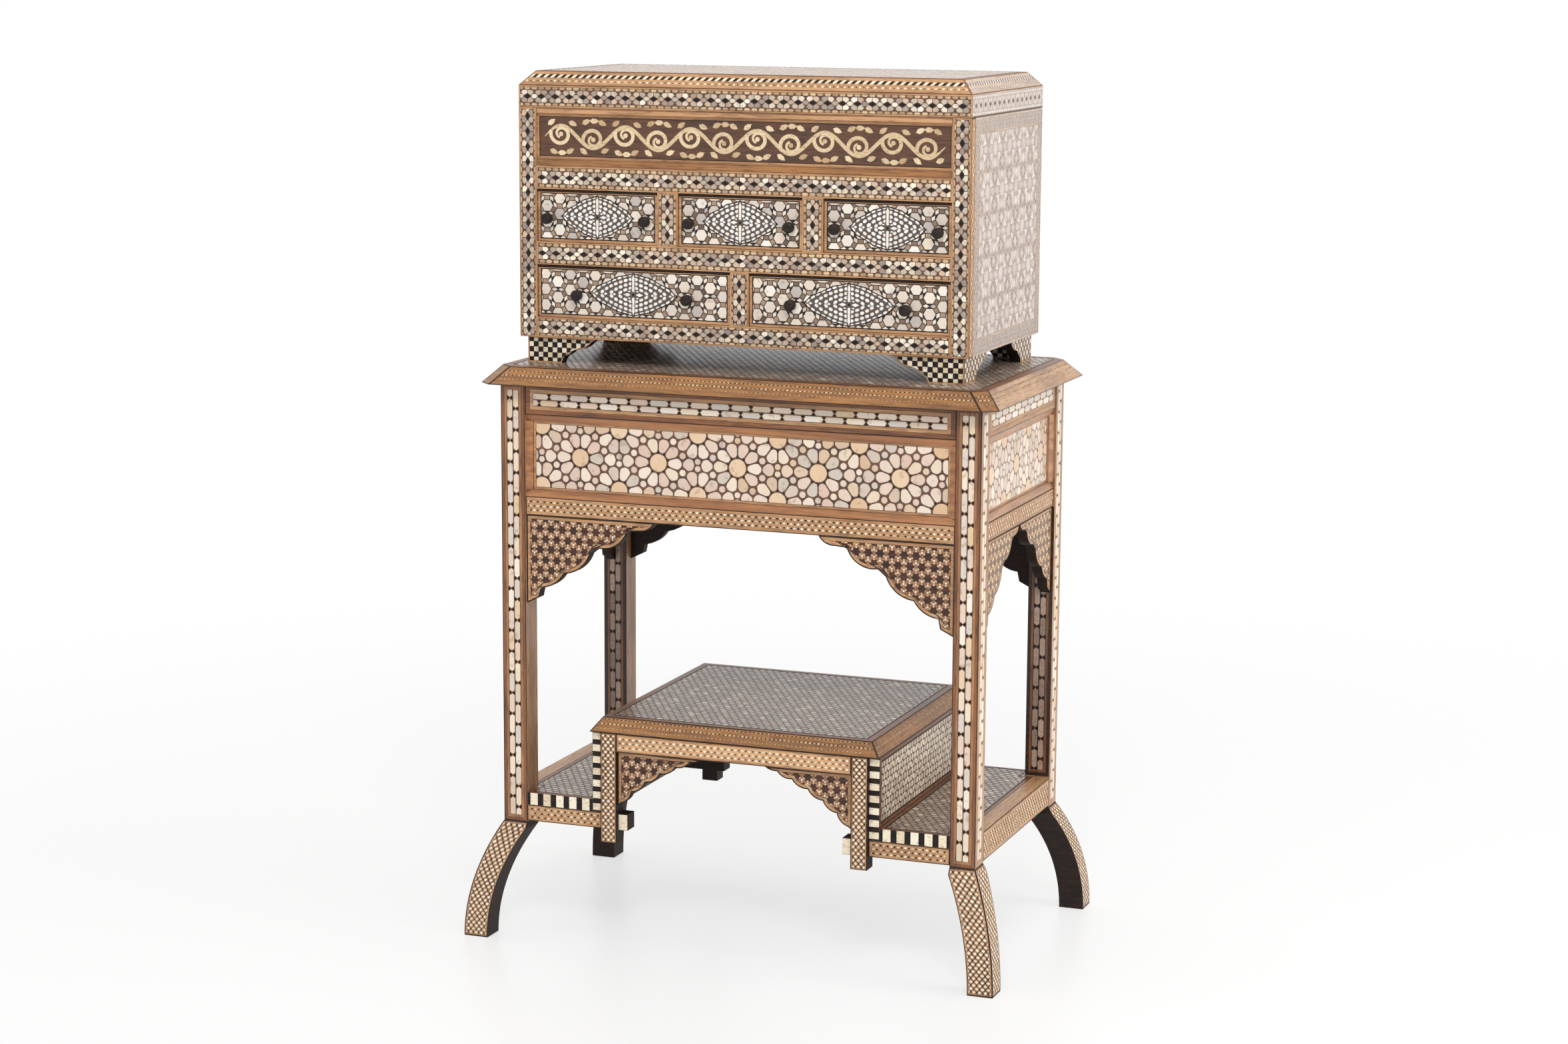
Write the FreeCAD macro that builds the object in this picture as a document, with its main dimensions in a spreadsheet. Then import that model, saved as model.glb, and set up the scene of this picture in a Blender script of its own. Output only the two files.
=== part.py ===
# A small chest of five drawers under a hinged lid, standing on a high openwork stand.
# +X is to the right, +Y to the back and +Z up. The origin is on the floor, under the middle of the stand.
import FreeCAD, Part
import math
import os

import Sketcher
from FreeCAD import Vector

# The driving dimensions in millimetres, piece by piece.
STAND_SIZES = {
    "stand_width": 700,  # over the outer faces of the posts
    "stand_depth": 390,
    "post_size": 36,
    "post_top": 788,  # the floor to the underside of the top board
    "foot_height": 162,
    "foot_splay_wide": 42,  # how far a foot sweeps out sideways
    "foot_splay_deep": 47,  # and to the front or back
    "dowel_radius": 8,
    "dowel_length": 30,
    "tenon_length": 14,
    "tenon_thickness": 8,
    "tenon_shoulder": 4,
    "rail_thickness": 22,
    "rail_recess": 2,
    "top_rail_height": 43,
    "lower_rail_height": 26,
    "panel_height": 115,
    "panel_thickness": 10,
    "panel_recess": 8,
    "moulding_width": 9,
    "moulding_outer_height": 7,  # how far a moulding stands off its panel along the rails and posts
    "moulding_inner_height": 3,
    "spandrel_length": 194,
    "spandrel_drop": 126,
    "spandrel_thickness": 14,
    "spandrel_recess": 4,
    "spandrel_tip_gap": 1,
    "top_thickness": 24,
    "top_overhang": 26,
    "top_bevel": 23,
    "top_clip": 19,
}
STEP_SIZES = {
    "shelf_top": 205,  # the floor to the top of the shelves
    "shelf_thickness": 18,
    "shelf_rail_height": 23,
    "shelf_rail_thickness": 24,
    "rail_end_length": 14,  # what shows of a rail past the leg that it goes through
    "step_width": 426,  # over the side boards of the raised step
    "step_side_thickness": 15,
    "step_rise": 99,
    "step_leg_width": 24,
    "step_leg_depth": 24,
    "step_leg_proud": 7,
    "step_leg_drop": 18,
    "step_rail_height": 26,
    "step_rail_thickness": 15,
    "step_spandrel_length": 129,
    "step_spandrel_drop": 78,
    "step_spandrel_thickness": 10,
    "step_spandrel_recess": 5,
    "step_top_thickness": 20,
    "step_top_overhang": 1,
    "step_top_bevel": 15,
}
CHEST_SIZES = {
    "chest_width": 656,
    "chest_depth": 328,
    "chest_shift_wide": 13,  # how far left of the stand's middle the chest was set down
    "chest_shift_deep": 16,  # and how far behind it
    "bracket_height": 36.5,
    "bracket_length": 115,
    "bracket_toe_length": 51,
    "bracket_thickness": 16,
    "bracket_inset": 8,
    "frame_thickness": 16,
    "stile_width": 26,
    "bottom_rail_height": 28.5,
    "drawer_opening_height": 73,
    "middle_rail_height": 32,
    "upper_rail_height": 42,
    "frieze_height": 61,
    "top_strip_height": 8.5,
    "small_divider_width": 30,
    "wide_divider_width": 27,
    "side_thickness": 16,
    "back_thickness": 12,
    "bottom_thickness": 12,
    "dust_board_thickness": 10,
    "well_floor_thickness": 10,
    "frieze_panel_thickness": 8,
    "frieze_panel_recess": 4,
    "guide_height": 14,
}
DRAWER_SIZES = {
    "drawer_recess": 3,
    "drawer_front_thickness": 15,
    "drawer_side_gap": 0.8,
    "drawer_bottom_gap": 0.3,
    "drawer_top_gap": 1.5,
    "drawer_side_thickness": 8,
    "drawer_back_thickness": 8,
    "drawer_bottom_thickness": 4,
    "drawer_side_drop": 8,  # how much lower the box is than its front
    "drawer_back_room": 8,
    "knob_radius": 7.5,
    "knob_neck_radius": 4,
    "knob_neck_length": 5,
    "knob_head_length": 10,
    "knob_rounding": 3,
    "knob_spigot_radius": 3,
    "knob_spigot_length": 11,
    "knob_below_middle": 4,
    "small_knob_inset": 17.7,  # from the edge of the drawer's opening to the knob's middle
    "wide_knob_inset": 62.3,
}
LID_SIZES = {
    "lid_gap": 0.3,
    "lid_rim_height": 30.5,
    "lid_rim_thickness": 16,
    "lid_top_thickness": 19.2,
    "lid_top_bevel": 18,
    "hinge_inset": 110,
    "leaf_width": 54,
    "leaf_height": 22,
    "leaf_thickness": 1.6,
    "barrel_radius": 3.4,
    "pin_radius": 1.7,
    "pin_clearance": 0.08,
    "knuckle_gap": 0.3,
    "screw_head_radius": 3,
    "screw_shank_radius": 1.4,
    "screw_length": 12,
}

# How the scalloped edge of a spandrel runs from its tip on the post to its thin end under the rail.
# Each point is its share of the length, its share of the drop, and how far the edge on to the next point
# swells out into the opening, as a share of that edge.
SPANDREL_EDGE_SHARES = (
    (0.0, 1.0, 0.0),
    (0.1, 0.925, 0.0),
    (0.115, 0.815, 0.13),
    (0.295, 0.64, 0.15),
    (0.5, 0.4, 0.0),
    (0.56, 0.325, 0.19),
    (0.79, 0.115, 0.0),
    (0.885, 0.105, 0.15),
    (1.0, 0.0, 0.0),
)
STEP_EDGE_SHARES = (
    (0.0, 1.0, 0.0),
    (0.05, 0.95, 0.14),
    (0.17, 0.73, 0.14),
    (0.33, 0.53, 0.14),
    (0.5, 0.35, 0.14),
    (0.68, 0.2, 0.14),
    (0.85, 0.08, 0.1),
    (1.0, 0.0, 0.0),
)
# The ogee of a bracket foot, from its toe up to the body: shares of its slope's length and of its height.
BRACKET_EDGE_SHARES = (
    (0.0, 0.0, -0.1),
    (0.11, 0.3, 0.12),
    (0.27, 0.55, 0.12),
    (0.66, 0.76, -0.12),
    (1.0, 1.0, 0.0),
)

# Where the screws go through a hinge leaf: shares of its width, and of its height away from the pin.
SCREW_WIDTH_SHARES = (0.15, 0.5, 0.85)
SCREW_HEIGHT_SHARE = 0.62

SMALL_DRAWERS = ("left", "centre", "right")
WIDE_DRAWERS = ("left", "right")
SIDES = {"left": -1, "right": 1}
ENDS = {"front": -1, "back": 1}

doc = FreeCAD.newDocument("chest_on_stand")
sheet = doc.addObject("Spreadsheet::Sheet", "Sizes")


class Size:
    """A length worked out from the sheet: the expression that gives it, and its value now."""

    def __init__(self, text, number):
        self.text = text
        self.number = float(number)

    def __add__(self, other):
        other = as_size(other)
        return Size(f"({self.text} + {other.text})", self.number + other.number)

    def __sub__(self, other):
        other = as_size(other)
        return Size(f"({self.text} - {other.text})", self.number - other.number)

    def __mul__(self, factor):
        factor = as_size(factor)
        return Size(f"({self.text} * {factor.text})", self.number * factor.number)

    def __truediv__(self, divisor):
        divisor = as_size(divisor)
        return Size(f"({self.text} / {divisor.text})", self.number / divisor.number)

    def __neg__(self):
        return Size(f"(0 - {self.text})", -self.number)

    def root(self):
        return Size(f"sqrt({self.text})", math.sqrt(self.number))

    __rmul__ = __mul__


def as_size(value):
    return value if isinstance(value, Size) else Size(f"({value!r})", value)


def fill_sheet():
    """Puts every driving dimension in its own named cell and returns them by name."""
    named = {}
    row = 0
    for sizes in (STAND_SIZES, STEP_SIZES, CHEST_SIZES, DRAWER_SIZES, LID_SIZES):
        for name, value in sizes.items():
            row += 1
            sheet.set(f"A{row}", name.replace("_", " "))
            sheet.set(f"B{row}", str(value))
            sheet.setAlias(f"B{row}", name)
            named[name] = Size(f"Sizes.{name}", value)
    doc.recompute()
    return named


S = fill_sheet()
ZERO = as_size(0)


def bind(piece, property_name, size):
    size = as_size(size)
    piece.setExpression(property_name, size.text)


def put(piece, place):
    for axis, size in zip("xyz", place):
        bind(piece, f"Placement.Base.{axis}", size)


def box(label, low, high):
    """A squared piece between its lowest and its highest corner."""
    piece = doc.addObject("Part::Box", label)
    for name, start, end in zip(("Length", "Width", "Height"), low, high):
        bind(piece, name, as_size(end) - start)
    put(piece, low)
    return piece


def span(side, near, far):
    """Two places at these distances from the middle, on the side -1 or 1, the lower one first."""
    return (-as_size(far), -as_size(near)) if side < 0 else (as_size(near), as_size(far))


def block(label, across, along, height):
    """A box from its range on each axis."""
    return box(label, *zip(across, along, height))


def rod(label, radius, length, centre, axis="z"):
    """A round piece that starts at centre and runs along an axis."""
    piece = doc.addObject("Part::Cylinder", label)
    bind(piece, "Radius", radius)
    bind(piece, "Height", length)
    turns = {"x": (Vector(0, 1, 0), 90), "-y": (Vector(1, 0, 0), 90), "z": (Vector(0, 0, 1), 0)}
    piece.Placement.Rotation = FreeCAD.Rotation(*turns[axis])
    put(piece, centre)
    return piece


def together(label, pieces):
    """Like pieces that keep their own solids under one name."""
    group = doc.addObject("Part::Compound", label)
    group.Links = pieces
    return group


def joined(label, pieces):
    whole = doc.addObject("Part::MultiFuse", label)
    whole.Shapes = pieces
    whole.Refine = True
    return whole


def cut(label, base, tools):
    result = doc.addObject("Part::Cut", label)
    result.Base = base
    result.Tool = together(label + "_cuts", tools)
    return result


def arc_radius(start, end, swell_share):
    """The radius of an arc that stands off its chord by a share of the chord."""
    across = end[0] - start[0]
    up = end[1] - start[1]
    chord = (across * across + up * up).root()
    return chord * (1 / (8 * swell_share) + swell_share / 2)


def arc_between(start, end, radius, anticlockwise):
    """The arc between two corners that turns anticlockwise or clockwise from the first to the second."""
    first, last = (start, end) if anticlockwise else (end, start)
    chord = last - first
    height = math.sqrt(max(radius**2 - (chord.Length / 2) ** 2, 0))
    centre = (first + last) / 2 + Vector(-chord.y, chord.x, 0).normalize() * height
    from_angle = math.atan2(first.y - centre.y, first.x - centre.x)
    to_angle = math.atan2(last.y - centre.y, last.x - centre.x)
    if to_angle < from_angle:
        to_angle += 2 * math.pi
    circle = Part.Circle(centre, Vector(0, 0, 1), radius)
    return Part.ArcOfCircle(circle, from_angle, to_angle)


def draw(sketch, outline):
    """Draws a closed outline whose corners, and the radii of its arcs, follow the sheet.

    Each entry is a corner (across, up), and where an arc leads on from it also the arc's radius and True
    where that arc turns anticlockwise.
    """
    corners = [Vector(as_size(entry[0]).number, as_size(entry[1]).number, 0) for entry in outline]
    ends = []
    for index, entry in enumerate(outline):
        start = corners[index]
        end = corners[(index + 1) % len(outline)]
        if len(entry) == 2:
            sketch.addGeometry(Part.LineSegment(start, end), False)
            ends.append((1, 2))
        else:
            radius, anticlockwise = entry[2:]
            sketch.addGeometry(arc_between(start, end, radius.number, anticlockwise), False)
            ends.append((1, 2) if anticlockwise else (2, 1))
    for index in range(len(outline)):
        following = (index + 1) % len(outline)
        meeting = (index, ends[index][1], following, ends[following][0])
        sketch.addConstraint(Sketcher.Constraint("Coincident", *meeting))
    for index, entry in enumerate(outline):
        for kind, size in zip(("DistanceX", "DistanceY"), entry[:2]):
            size = as_size(size)
            place = Sketcher.Constraint(kind, -1, 1, index, ends[index][0], size.number)
            number = sketch.addConstraint(place)
            sketch.setExpression(f"Constraints[{number}]", size.text)
        if len(entry) > 2:
            number = sketch.addConstraint(Sketcher.Constraint("Radius", index, entry[2].number))
            sketch.setExpression(f"Constraints[{number}]", entry[2].text)


def new_sketch(body, name, plane, height=None):
    sketch = body.newObject("Sketcher::SketchObject", name)
    face = next(part for part in body.Origin.OriginFeatures if part.Role == plane)
    sketch.AttachmentSupport = [(face, "")]
    sketch.MapMode = "FlatFace"
    if height is not None:
        sketch.setExpression("AttachmentOffset.Base.z", height.text)
    return sketch


def sawn(label, plane, outline, thickness, place):
    """A board sawn to an outline that is drawn on a plane, and set down at a place."""
    body = doc.addObject("PartDesign::Body", label)
    sketch = new_sketch(body, label + "_outline", plane)
    draw(sketch, outline)
    pad = body.newObject("PartDesign::Pad", label + "_board")
    pad.Profile = sketch
    pad.Reversed = plane == "XZ_Plane"
    bind(pad, "Length", thickness)
    put(body, place)
    return body


def clipped_outline(half_width, half_depth, clip):
    """A rectangle about the middle, with its corners cut off by clip."""
    short_width = half_width - clip
    short_depth = half_depth - clip
    return [
        (short_width, -half_depth),
        (half_width, -short_depth),
        (half_width, short_depth),
        (short_width, half_depth),
        (-short_width, half_depth),
        (-half_width, short_depth),
        (-half_width, -short_depth),
        (-short_width, -half_depth),
    ]


def plain_outline(half_width, half_depth):
    return [
        (-half_width, -half_depth),
        (half_width, -half_depth),
        (half_width, half_depth),
        (-half_width, half_depth),
    ]


def bevelled(label, lower, upper, thickness, place):
    """A board whose edge leans in from its lower outline to its upper one."""
    body = doc.addObject("PartDesign::Body", label)
    lower_sketch = new_sketch(body, label + "_lower", "XY_Plane")
    draw(lower_sketch, lower)
    upper_sketch = new_sketch(body, label + "_upper", "XY_Plane", thickness)
    draw(upper_sketch, upper)
    loft = body.newObject("PartDesign::AdditiveLoft", label + "_board")
    loft.Profile = lower_sketch
    loft.Sections = [upper_sketch]
    loft.Ruled = True
    put(body, place)
    return body


# Places that several pieces of the stand share.
HALF_WIDTH = S["stand_width"] / 2
HALF_DEPTH = S["stand_depth"] / 2
INNER_WIDTH = HALF_WIDTH - S["post_size"]
INNER_DEPTH = HALF_DEPTH - S["post_size"]
TOP_RAIL_FOOT = S["post_top"] - S["top_rail_height"]
LOWER_RAIL_TOP = TOP_RAIL_FOOT - S["panel_height"]
LOWER_RAIL_FOOT = LOWER_RAIL_TOP - S["lower_rail_height"]
SHELF_FOOT = S["shelf_top"] - S["shelf_thickness"]
SHELF_RAIL_FOOT = SHELF_FOOT - S["shelf_rail_height"]
RAIL_LEVELS = {"top": (TOP_RAIL_FOOT, S["post_top"]), "lower": (LOWER_RAIL_FOOT, LOWER_RAIL_TOP)}
STEP_HALF = S["step_width"] / 2
STEP_INNER = STEP_HALF - S["step_side_thickness"]
LEG_INNER = STEP_INNER - S["step_leg_width"]
STEP_UNDERSIDE = S["shelf_top"] + S["step_rise"]
LEG_FOOT = SHELF_RAIL_FOOT - S["step_leg_drop"]


def across(side, frontal, near, far):
    """The range that a piece of a front, back, left or right face takes through that face's depth."""
    half = HALF_DEPTH if frontal else HALF_WIDTH
    return span(side, half - far, half - near)


def rail_piece(label, side, frontal, recess, thickness, heights, reach, shoulder):
    """A squared piece along a face of the stand, as long as reach to both sides of the middle."""
    low, high = heights
    through = across(side, frontal, recess, recess + thickness)
    along = (-reach, reach)
    height = (low + shoulder, high - shoulder)
    return block(label, *((along, through) if frontal else (through, along)), height)


def tenon_recess():
    return S["rail_recess"] + (S["rail_thickness"] - S["tenon_thickness"]) / 2


def tenoned_rail(label, side, frontal, heights):
    """A rail between two posts, with a tenon at each end that goes into them."""
    inner = INNER_WIDTH if frontal else INNER_DEPTH
    rail = rail_piece(
        label + "_body", side, frontal, S["rail_recess"], S["rail_thickness"], heights, inner, ZERO
    )
    tongue = rail_piece(
        label + "_tongue",
        side,
        frontal,
        tenon_recess(),
        S["tenon_thickness"],
        heights,
        inner + S["tenon_length"],
        S["tenon_shoulder"],
    )
    return joined(label, [rail, tongue])


def mortise(label, side, end, frontal, heights):
    """The pocket in a post that takes the tenon of a frontal or a sideways rail."""
    low, high = heights
    height = (low + S["tenon_shoulder"], high - S["tenon_shoulder"])
    recess = tenon_recess()
    if frontal:
        reach = span(side, INNER_WIDTH, INNER_WIDTH + S["tenon_length"])
        through = across(end, True, recess, recess + S["tenon_thickness"])
        return block(label, reach, through, height)
    reach = span(end, INNER_DEPTH, INNER_DEPTH + S["tenon_length"])
    through = across(side, False, recess, recess + S["tenon_thickness"])
    return block(label, through, reach, height)


def make_post(end_name, side_name):
    """A square post with mortises for four rails and a bore for its foot's dowel."""
    label = f"post_{end_name}_{side_name}"
    side, end = SIDES[side_name], ENDS[end_name]
    blank = block(
        label + "_blank",
        span(side, INNER_WIDTH, HALF_WIDTH),
        span(end, INNER_DEPTH, HALF_DEPTH),
        (S["foot_height"], S["post_top"]),
    )
    pockets = [dowel(label + "_bore", side, end)]
    for level, heights in RAIL_LEVELS.items():
        for frontal in (True, False):
            pocket_label = f"{label}_{level}_{'wide' if frontal else 'deep'}_mortise"
            pockets.append(mortise(pocket_label, side, end, frontal, heights))
    return cut(label, blank, pockets)


def dowel(label, side, end):
    """The round pin that stands on a foot and goes up into its post."""
    centre_x = (HALF_WIDTH - S["post_size"] / 2) * side
    centre_y = (HALF_DEPTH - S["post_size"] / 2) * end
    return rod(label, S["dowel_radius"], S["dowel_length"], (centre_x, centre_y, S["foot_height"]))


def foot_outline(half, splay, side):
    """One face of a foot: two arcs about one centre at floor level, cut plumb under the post's inner face."""
    height = S["foot_height"]
    width = S["post_size"]
    outer_radius = (splay * splay + height * height) / (splay * 2)
    inner_radius = outer_radius - width
    inner_height = (splay * (inner_radius * 2 - splay)).root()
    outer = half * side
    inner = (half - width) * side
    turns = side < 0
    return [
        (outer, height, outer_radius, turns),
        (outer + splay * side, ZERO),
        (outer + (splay - width) * side, ZERO, inner_radius, not turns),
        (inner, inner_height),
        (inner, height),
    ]


def make_foot(end_name, side_name):
    """A sabre foot, sawn to a sweep on two faces from one blank, with a dowel on top."""
    label = f"foot_{end_name}_{side_name}"
    side, end = SIDES[side_name], ENDS[end_name]
    blank_depth = S["stand_depth"] + S["foot_splay_deep"] * 2
    blank_width = S["stand_width"] + S["foot_splay_wide"] * 2
    front_view = foot_outline(HALF_WIDTH, S["foot_splay_wide"], side)
    side_view = foot_outline(HALF_DEPTH, S["foot_splay_deep"], end)
    sweep = doc.addObject("Part::MultiCommon", label + "_sweep")
    sweep.Shapes = [
        sawn(label + "_front_view", "XZ_Plane", front_view, blank_depth, (ZERO, -blank_depth / 2, ZERO)),
        sawn(label + "_side_view", "YZ_Plane", side_view, blank_width, (-blank_width / 2, ZERO, ZERO)),
    ]
    return joined(label, [sweep, dowel(label + "_dowel", side, end)])


def moulding_outline(edge, inward, face, outward):
    """A moulding's section, from the edge that it runs along and the panel's face that it lies on."""
    inner = edge + S["moulding_width"] * inward
    return [
        (edge, face),
        (edge, face + S["moulding_outer_height"] * outward),
        (inner, face + S["moulding_inner_height"] * outward),
        (inner, face),
    ]


def swapped(outline):
    return [(up, along) for along, up in outline]


def make_panel(face_name, side, frontal):
    """The inlaid board between the top and the lower rail of one face, and the four mouldings round it."""
    inner = INNER_WIDTH if frontal else INNER_DEPTH
    recess = S["rail_recess"] + S["panel_recess"]
    heights = (LOWER_RAIL_TOP, TOP_RAIL_FOOT)
    label = f"{face_name}_panel"
    board = rail_piece(
        label + "_board", side, frontal, recess, S["panel_thickness"], heights, inner, ZERO
    )
    face = ((HALF_DEPTH if frontal else HALF_WIDTH) - recess) * side
    strips = []
    for name, height, inward in (("foot", heights[0], 1), ("top", heights[1], -1)):
        section = moulding_outline(height, inward, face, side)
        place = (-inner, ZERO, ZERO) if frontal else (ZERO, -inner, ZERO)
        plane = "YZ_Plane" if frontal else "XZ_Plane"
        strips.append(sawn(f"{label}_moulding_{name}", plane, swapped(section), inner * 2, place))
    upright = S["panel_height"] - S["moulding_width"] * 2
    for name, end in (("low", -1), ("high", 1)):
        section = moulding_outline(inner * end, -end, face, side)
        outline = section if frontal else swapped(section)
        place = (ZERO, ZERO, LOWER_RAIL_TOP + S["moulding_width"])
        strips.append(sawn(f"{label}_moulding_{name}", "XY_Plane", outline, upright, place))
    return together(label, [board, *strips])


def scalloped_outline(side, start, length, top, drop, shares):
    """A spandrel from its corner at start towards the middle, with scallops along its free edge."""
    corners = [
        ((start - length * along) * side, top - drop * down, swell) for along, down, swell in shares
    ]
    outline = [(start * side, top)]
    for index, (place, height, swell) in enumerate(corners[:-1]):
        if swell:
            radius = arc_radius((place, height), corners[index + 1][:2], swell)
            outline.append((place, height, radius, side < 0))
        else:
            outline.append((place, height))
    outline.append(corners[-1][:2])
    return outline


def make_spandrels(face_name, side, frontal):
    """The pair of scalloped boards under the lower rail of one face."""
    start = INNER_WIDTH if frontal else INNER_DEPTH
    length = S["spandrel_length"] if frontal else INNER_DEPTH - S["spandrel_tip_gap"]
    depth = across(side, frontal, S["spandrel_recess"], S["spandrel_recess"] + S["spandrel_thickness"])[0]
    pair = []
    for hand_name, hand in (SIDES if frontal else ENDS).items():
        outline = scalloped_outline(
            hand, start, length, LOWER_RAIL_FOOT, S["spandrel_drop"], SPANDREL_EDGE_SHARES
        )
        plane = "XZ_Plane" if frontal else "YZ_Plane"
        place = (ZERO, depth, ZERO) if frontal else (depth, ZERO, ZERO)
        label = f"{face_name}_spandrel_{hand_name}"
        pair.append(sawn(label, plane, outline, S["spandrel_thickness"], place))
    return together(f"{face_name}_spandrels", pair)


def make_stand_top():
    """The top board, its edge bevelled and its corners clipped."""
    half_width = HALF_WIDTH + S["top_overhang"]
    half_depth = HALF_DEPTH + S["top_overhang"]
    lower = clipped_outline(half_width, half_depth, S["top_clip"])
    upper = clipped_outline(half_width - S["top_bevel"], half_depth - S["top_bevel"], S["top_clip"])
    return bevelled("stand_top", lower, upper, S["top_thickness"], (ZERO, ZERO, S["post_top"]))


def make_shelf(side_name, side):
    """A low shelf between the end rail and the step, notched round the two posts."""
    inner = STEP_HALF * side
    notch = INNER_WIDTH * side
    outer = (HALF_WIDTH - S["shelf_rail_thickness"]) * side
    outline = [
        (inner, -HALF_DEPTH),
        (notch, -HALF_DEPTH),
        (notch, -INNER_DEPTH),
        (outer, -INNER_DEPTH),
        (outer, INNER_DEPTH),
        (notch, INNER_DEPTH),
        (notch, HALF_DEPTH),
        (inner, HALF_DEPTH),
    ]
    place = (ZERO, ZERO, SHELF_FOOT)
    return sawn(f"shelf_{side_name}", "XY_Plane", outline, S["shelf_thickness"], place)


def make_shelf_rails(side_name):
    """The end rail beside a shelf and the two rails under it, whose ends go through the step's legs."""
    side = SIDES[side_name]
    label = f"{side_name}_shelf_rail"
    thickness = S["shelf_rail_thickness"]
    under = (SHELF_RAIL_FOOT, SHELF_FOOT)
    rails = [
        block(
            label + "_end",
            span(side, HALF_WIDTH - thickness, HALF_WIDTH),
            (-INNER_DEPTH, INNER_DEPTH),
            (SHELF_RAIL_FOOT, S["shelf_top"]),
        )
    ]
    for end_name, end in ENDS.items():
        length = span(side, LEG_INNER - S["rail_end_length"], INNER_WIDTH)
        depth = span(end, HALF_DEPTH - thickness, HALF_DEPTH)
        rails.append(block(f"{label}_{end_name}", length, depth, under))
    return together(f"{side_name}_shelf_rails", rails)


def make_step_sides():
    """The two upright boards that carry the raised step between the shelves."""
    boards = [
        block(
            f"step_side_{name}",
            span(side, STEP_INNER, STEP_HALF),
            (-HALF_DEPTH, HALF_DEPTH),
            (SHELF_FOOT, STEP_UNDERSIDE),
        )
        for name, side in SIDES.items()
    ]
    return together("step_sides", boards)


def make_step_legs():
    """The four short legs of the step, each notched over the end of a shelf rail."""
    legs = []
    for end_name, end in ENDS.items():
        face = HALF_DEPTH + S["step_leg_proud"]
        depth = span(end, face - S["step_leg_depth"], face)
        notch_depth = span(end, HALF_DEPTH - S["shelf_rail_thickness"], HALF_DEPTH)
        for name, side in SIDES.items():
            label = f"step_leg_{end_name}_{name}"
            width = span(side, LEG_INNER, STEP_INNER)
            blank = block(label + "_blank", width, depth, (LEG_FOOT, STEP_UNDERSIDE))
            notch = block(label + "_notch", width, notch_depth, (SHELF_RAIL_FOOT, SHELF_FOOT))
            legs.append(cut(label, blank, [notch]))
    return together("step_legs", legs)


def make_step_rails():
    """The frieze rails between the legs, under the step's top at its front and back."""
    rails = []
    for name, end in ENDS.items():
        face = HALF_DEPTH + S["step_leg_proud"]
        depth = span(end, face - S["step_rail_thickness"], face)
        height = (STEP_UNDERSIDE - S["step_rail_height"], STEP_UNDERSIDE)
        rails.append(block(f"step_rail_{name}", (-LEG_INNER, LEG_INNER), depth, height))
    return together("step_rails", rails)


def make_step_spandrels():
    """The four boards with small scallops that form the step's front and back arch."""
    boards = []
    top = STEP_UNDERSIDE - S["step_rail_height"]
    for end_name, end in ENDS.items():
        face = HALF_DEPTH + S["step_leg_proud"] - S["step_spandrel_recess"]
        depth = span(end, face - S["step_spandrel_thickness"], face)[0]
        for name, side in SIDES.items():
            outline = scalloped_outline(
                side,
                LEG_INNER,
                S["step_spandrel_length"],
                top,
                S["step_spandrel_drop"],
                STEP_EDGE_SHARES,
            )
            label = f"step_spandrel_{end_name}_{name}"
            place = (ZERO, depth, ZERO)
            boards.append(sawn(label, "XZ_Plane", outline, S["step_spandrel_thickness"], place))
    return together("step_spandrels", boards)


def make_step_top():
    """The top of the raised step, bevelled like the stand's top but with sharp corners."""
    half_width = STEP_HALF + S["step_top_overhang"]
    half_depth = HALF_DEPTH + S["step_leg_proud"] + S["step_top_overhang"]
    bevel = S["step_top_bevel"]
    lower = plain_outline(half_width, half_depth)
    upper = plain_outline(half_width - bevel, half_depth - bevel)
    place = (ZERO, ZERO, STEP_UNDERSIDE)
    return bevelled("step_top", lower, upper, S["step_top_thickness"], place)


# Places that several pieces of the chest share.
CHEST_X = -S["chest_shift_wide"]
CHEST_Y = S["chest_shift_deep"]
CHEST_LEFT = CHEST_X - S["chest_width"] / 2
CHEST_RIGHT = CHEST_X + S["chest_width"] / 2
CHEST_FRONT = CHEST_Y - S["chest_depth"] / 2
CHEST_BACK = CHEST_Y + S["chest_depth"] / 2
STAND_SURFACE = S["post_top"] + S["top_thickness"]
BODY_FOOT = STAND_SURFACE + S["bracket_height"]
LOWER_FLOOR = BODY_FOOT + S["bottom_rail_height"]
LOWER_CEILING = LOWER_FLOOR + S["drawer_opening_height"]
UPPER_FLOOR = LOWER_CEILING + S["middle_rail_height"]
UPPER_CEILING = UPPER_FLOOR + S["drawer_opening_height"]
FRIEZE_FOOT = UPPER_CEILING + S["upper_rail_height"]
FRIEZE_TOP = FRIEZE_FOOT + S["frieze_height"]
BODY_TOP = FRIEZE_TOP + S["top_strip_height"]
OPENING_LEFT = CHEST_LEFT + S["stile_width"]
OPENING_RIGHT = CHEST_RIGHT - S["stile_width"]
INSIDE_LEFT = CHEST_LEFT + S["side_thickness"]
INSIDE_RIGHT = CHEST_RIGHT - S["side_thickness"]
INSIDE_FRONT = CHEST_FRONT + S["frame_thickness"]
INSIDE_BACK = CHEST_BACK - S["back_thickness"]


def drawer_ranges(count, divider_width):
    """The left and right edge of each opening in a row of drawers of equal width."""
    width = (OPENING_RIGHT - OPENING_LEFT - divider_width * (count - 1)) / count
    starts = [OPENING_LEFT + (width + divider_width) * index for index in range(count)]
    return [(start, start + width) for start in starts]


SMALL_OPENINGS = drawer_ranges(len(SMALL_DRAWERS), S["small_divider_width"])
WIDE_OPENINGS = drawer_ranges(len(WIDE_DRAWERS), S["wide_divider_width"])


def dividers_between(openings):
    return [(first[1], second[0]) for first, second in zip(openings, openings[1:])]


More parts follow.
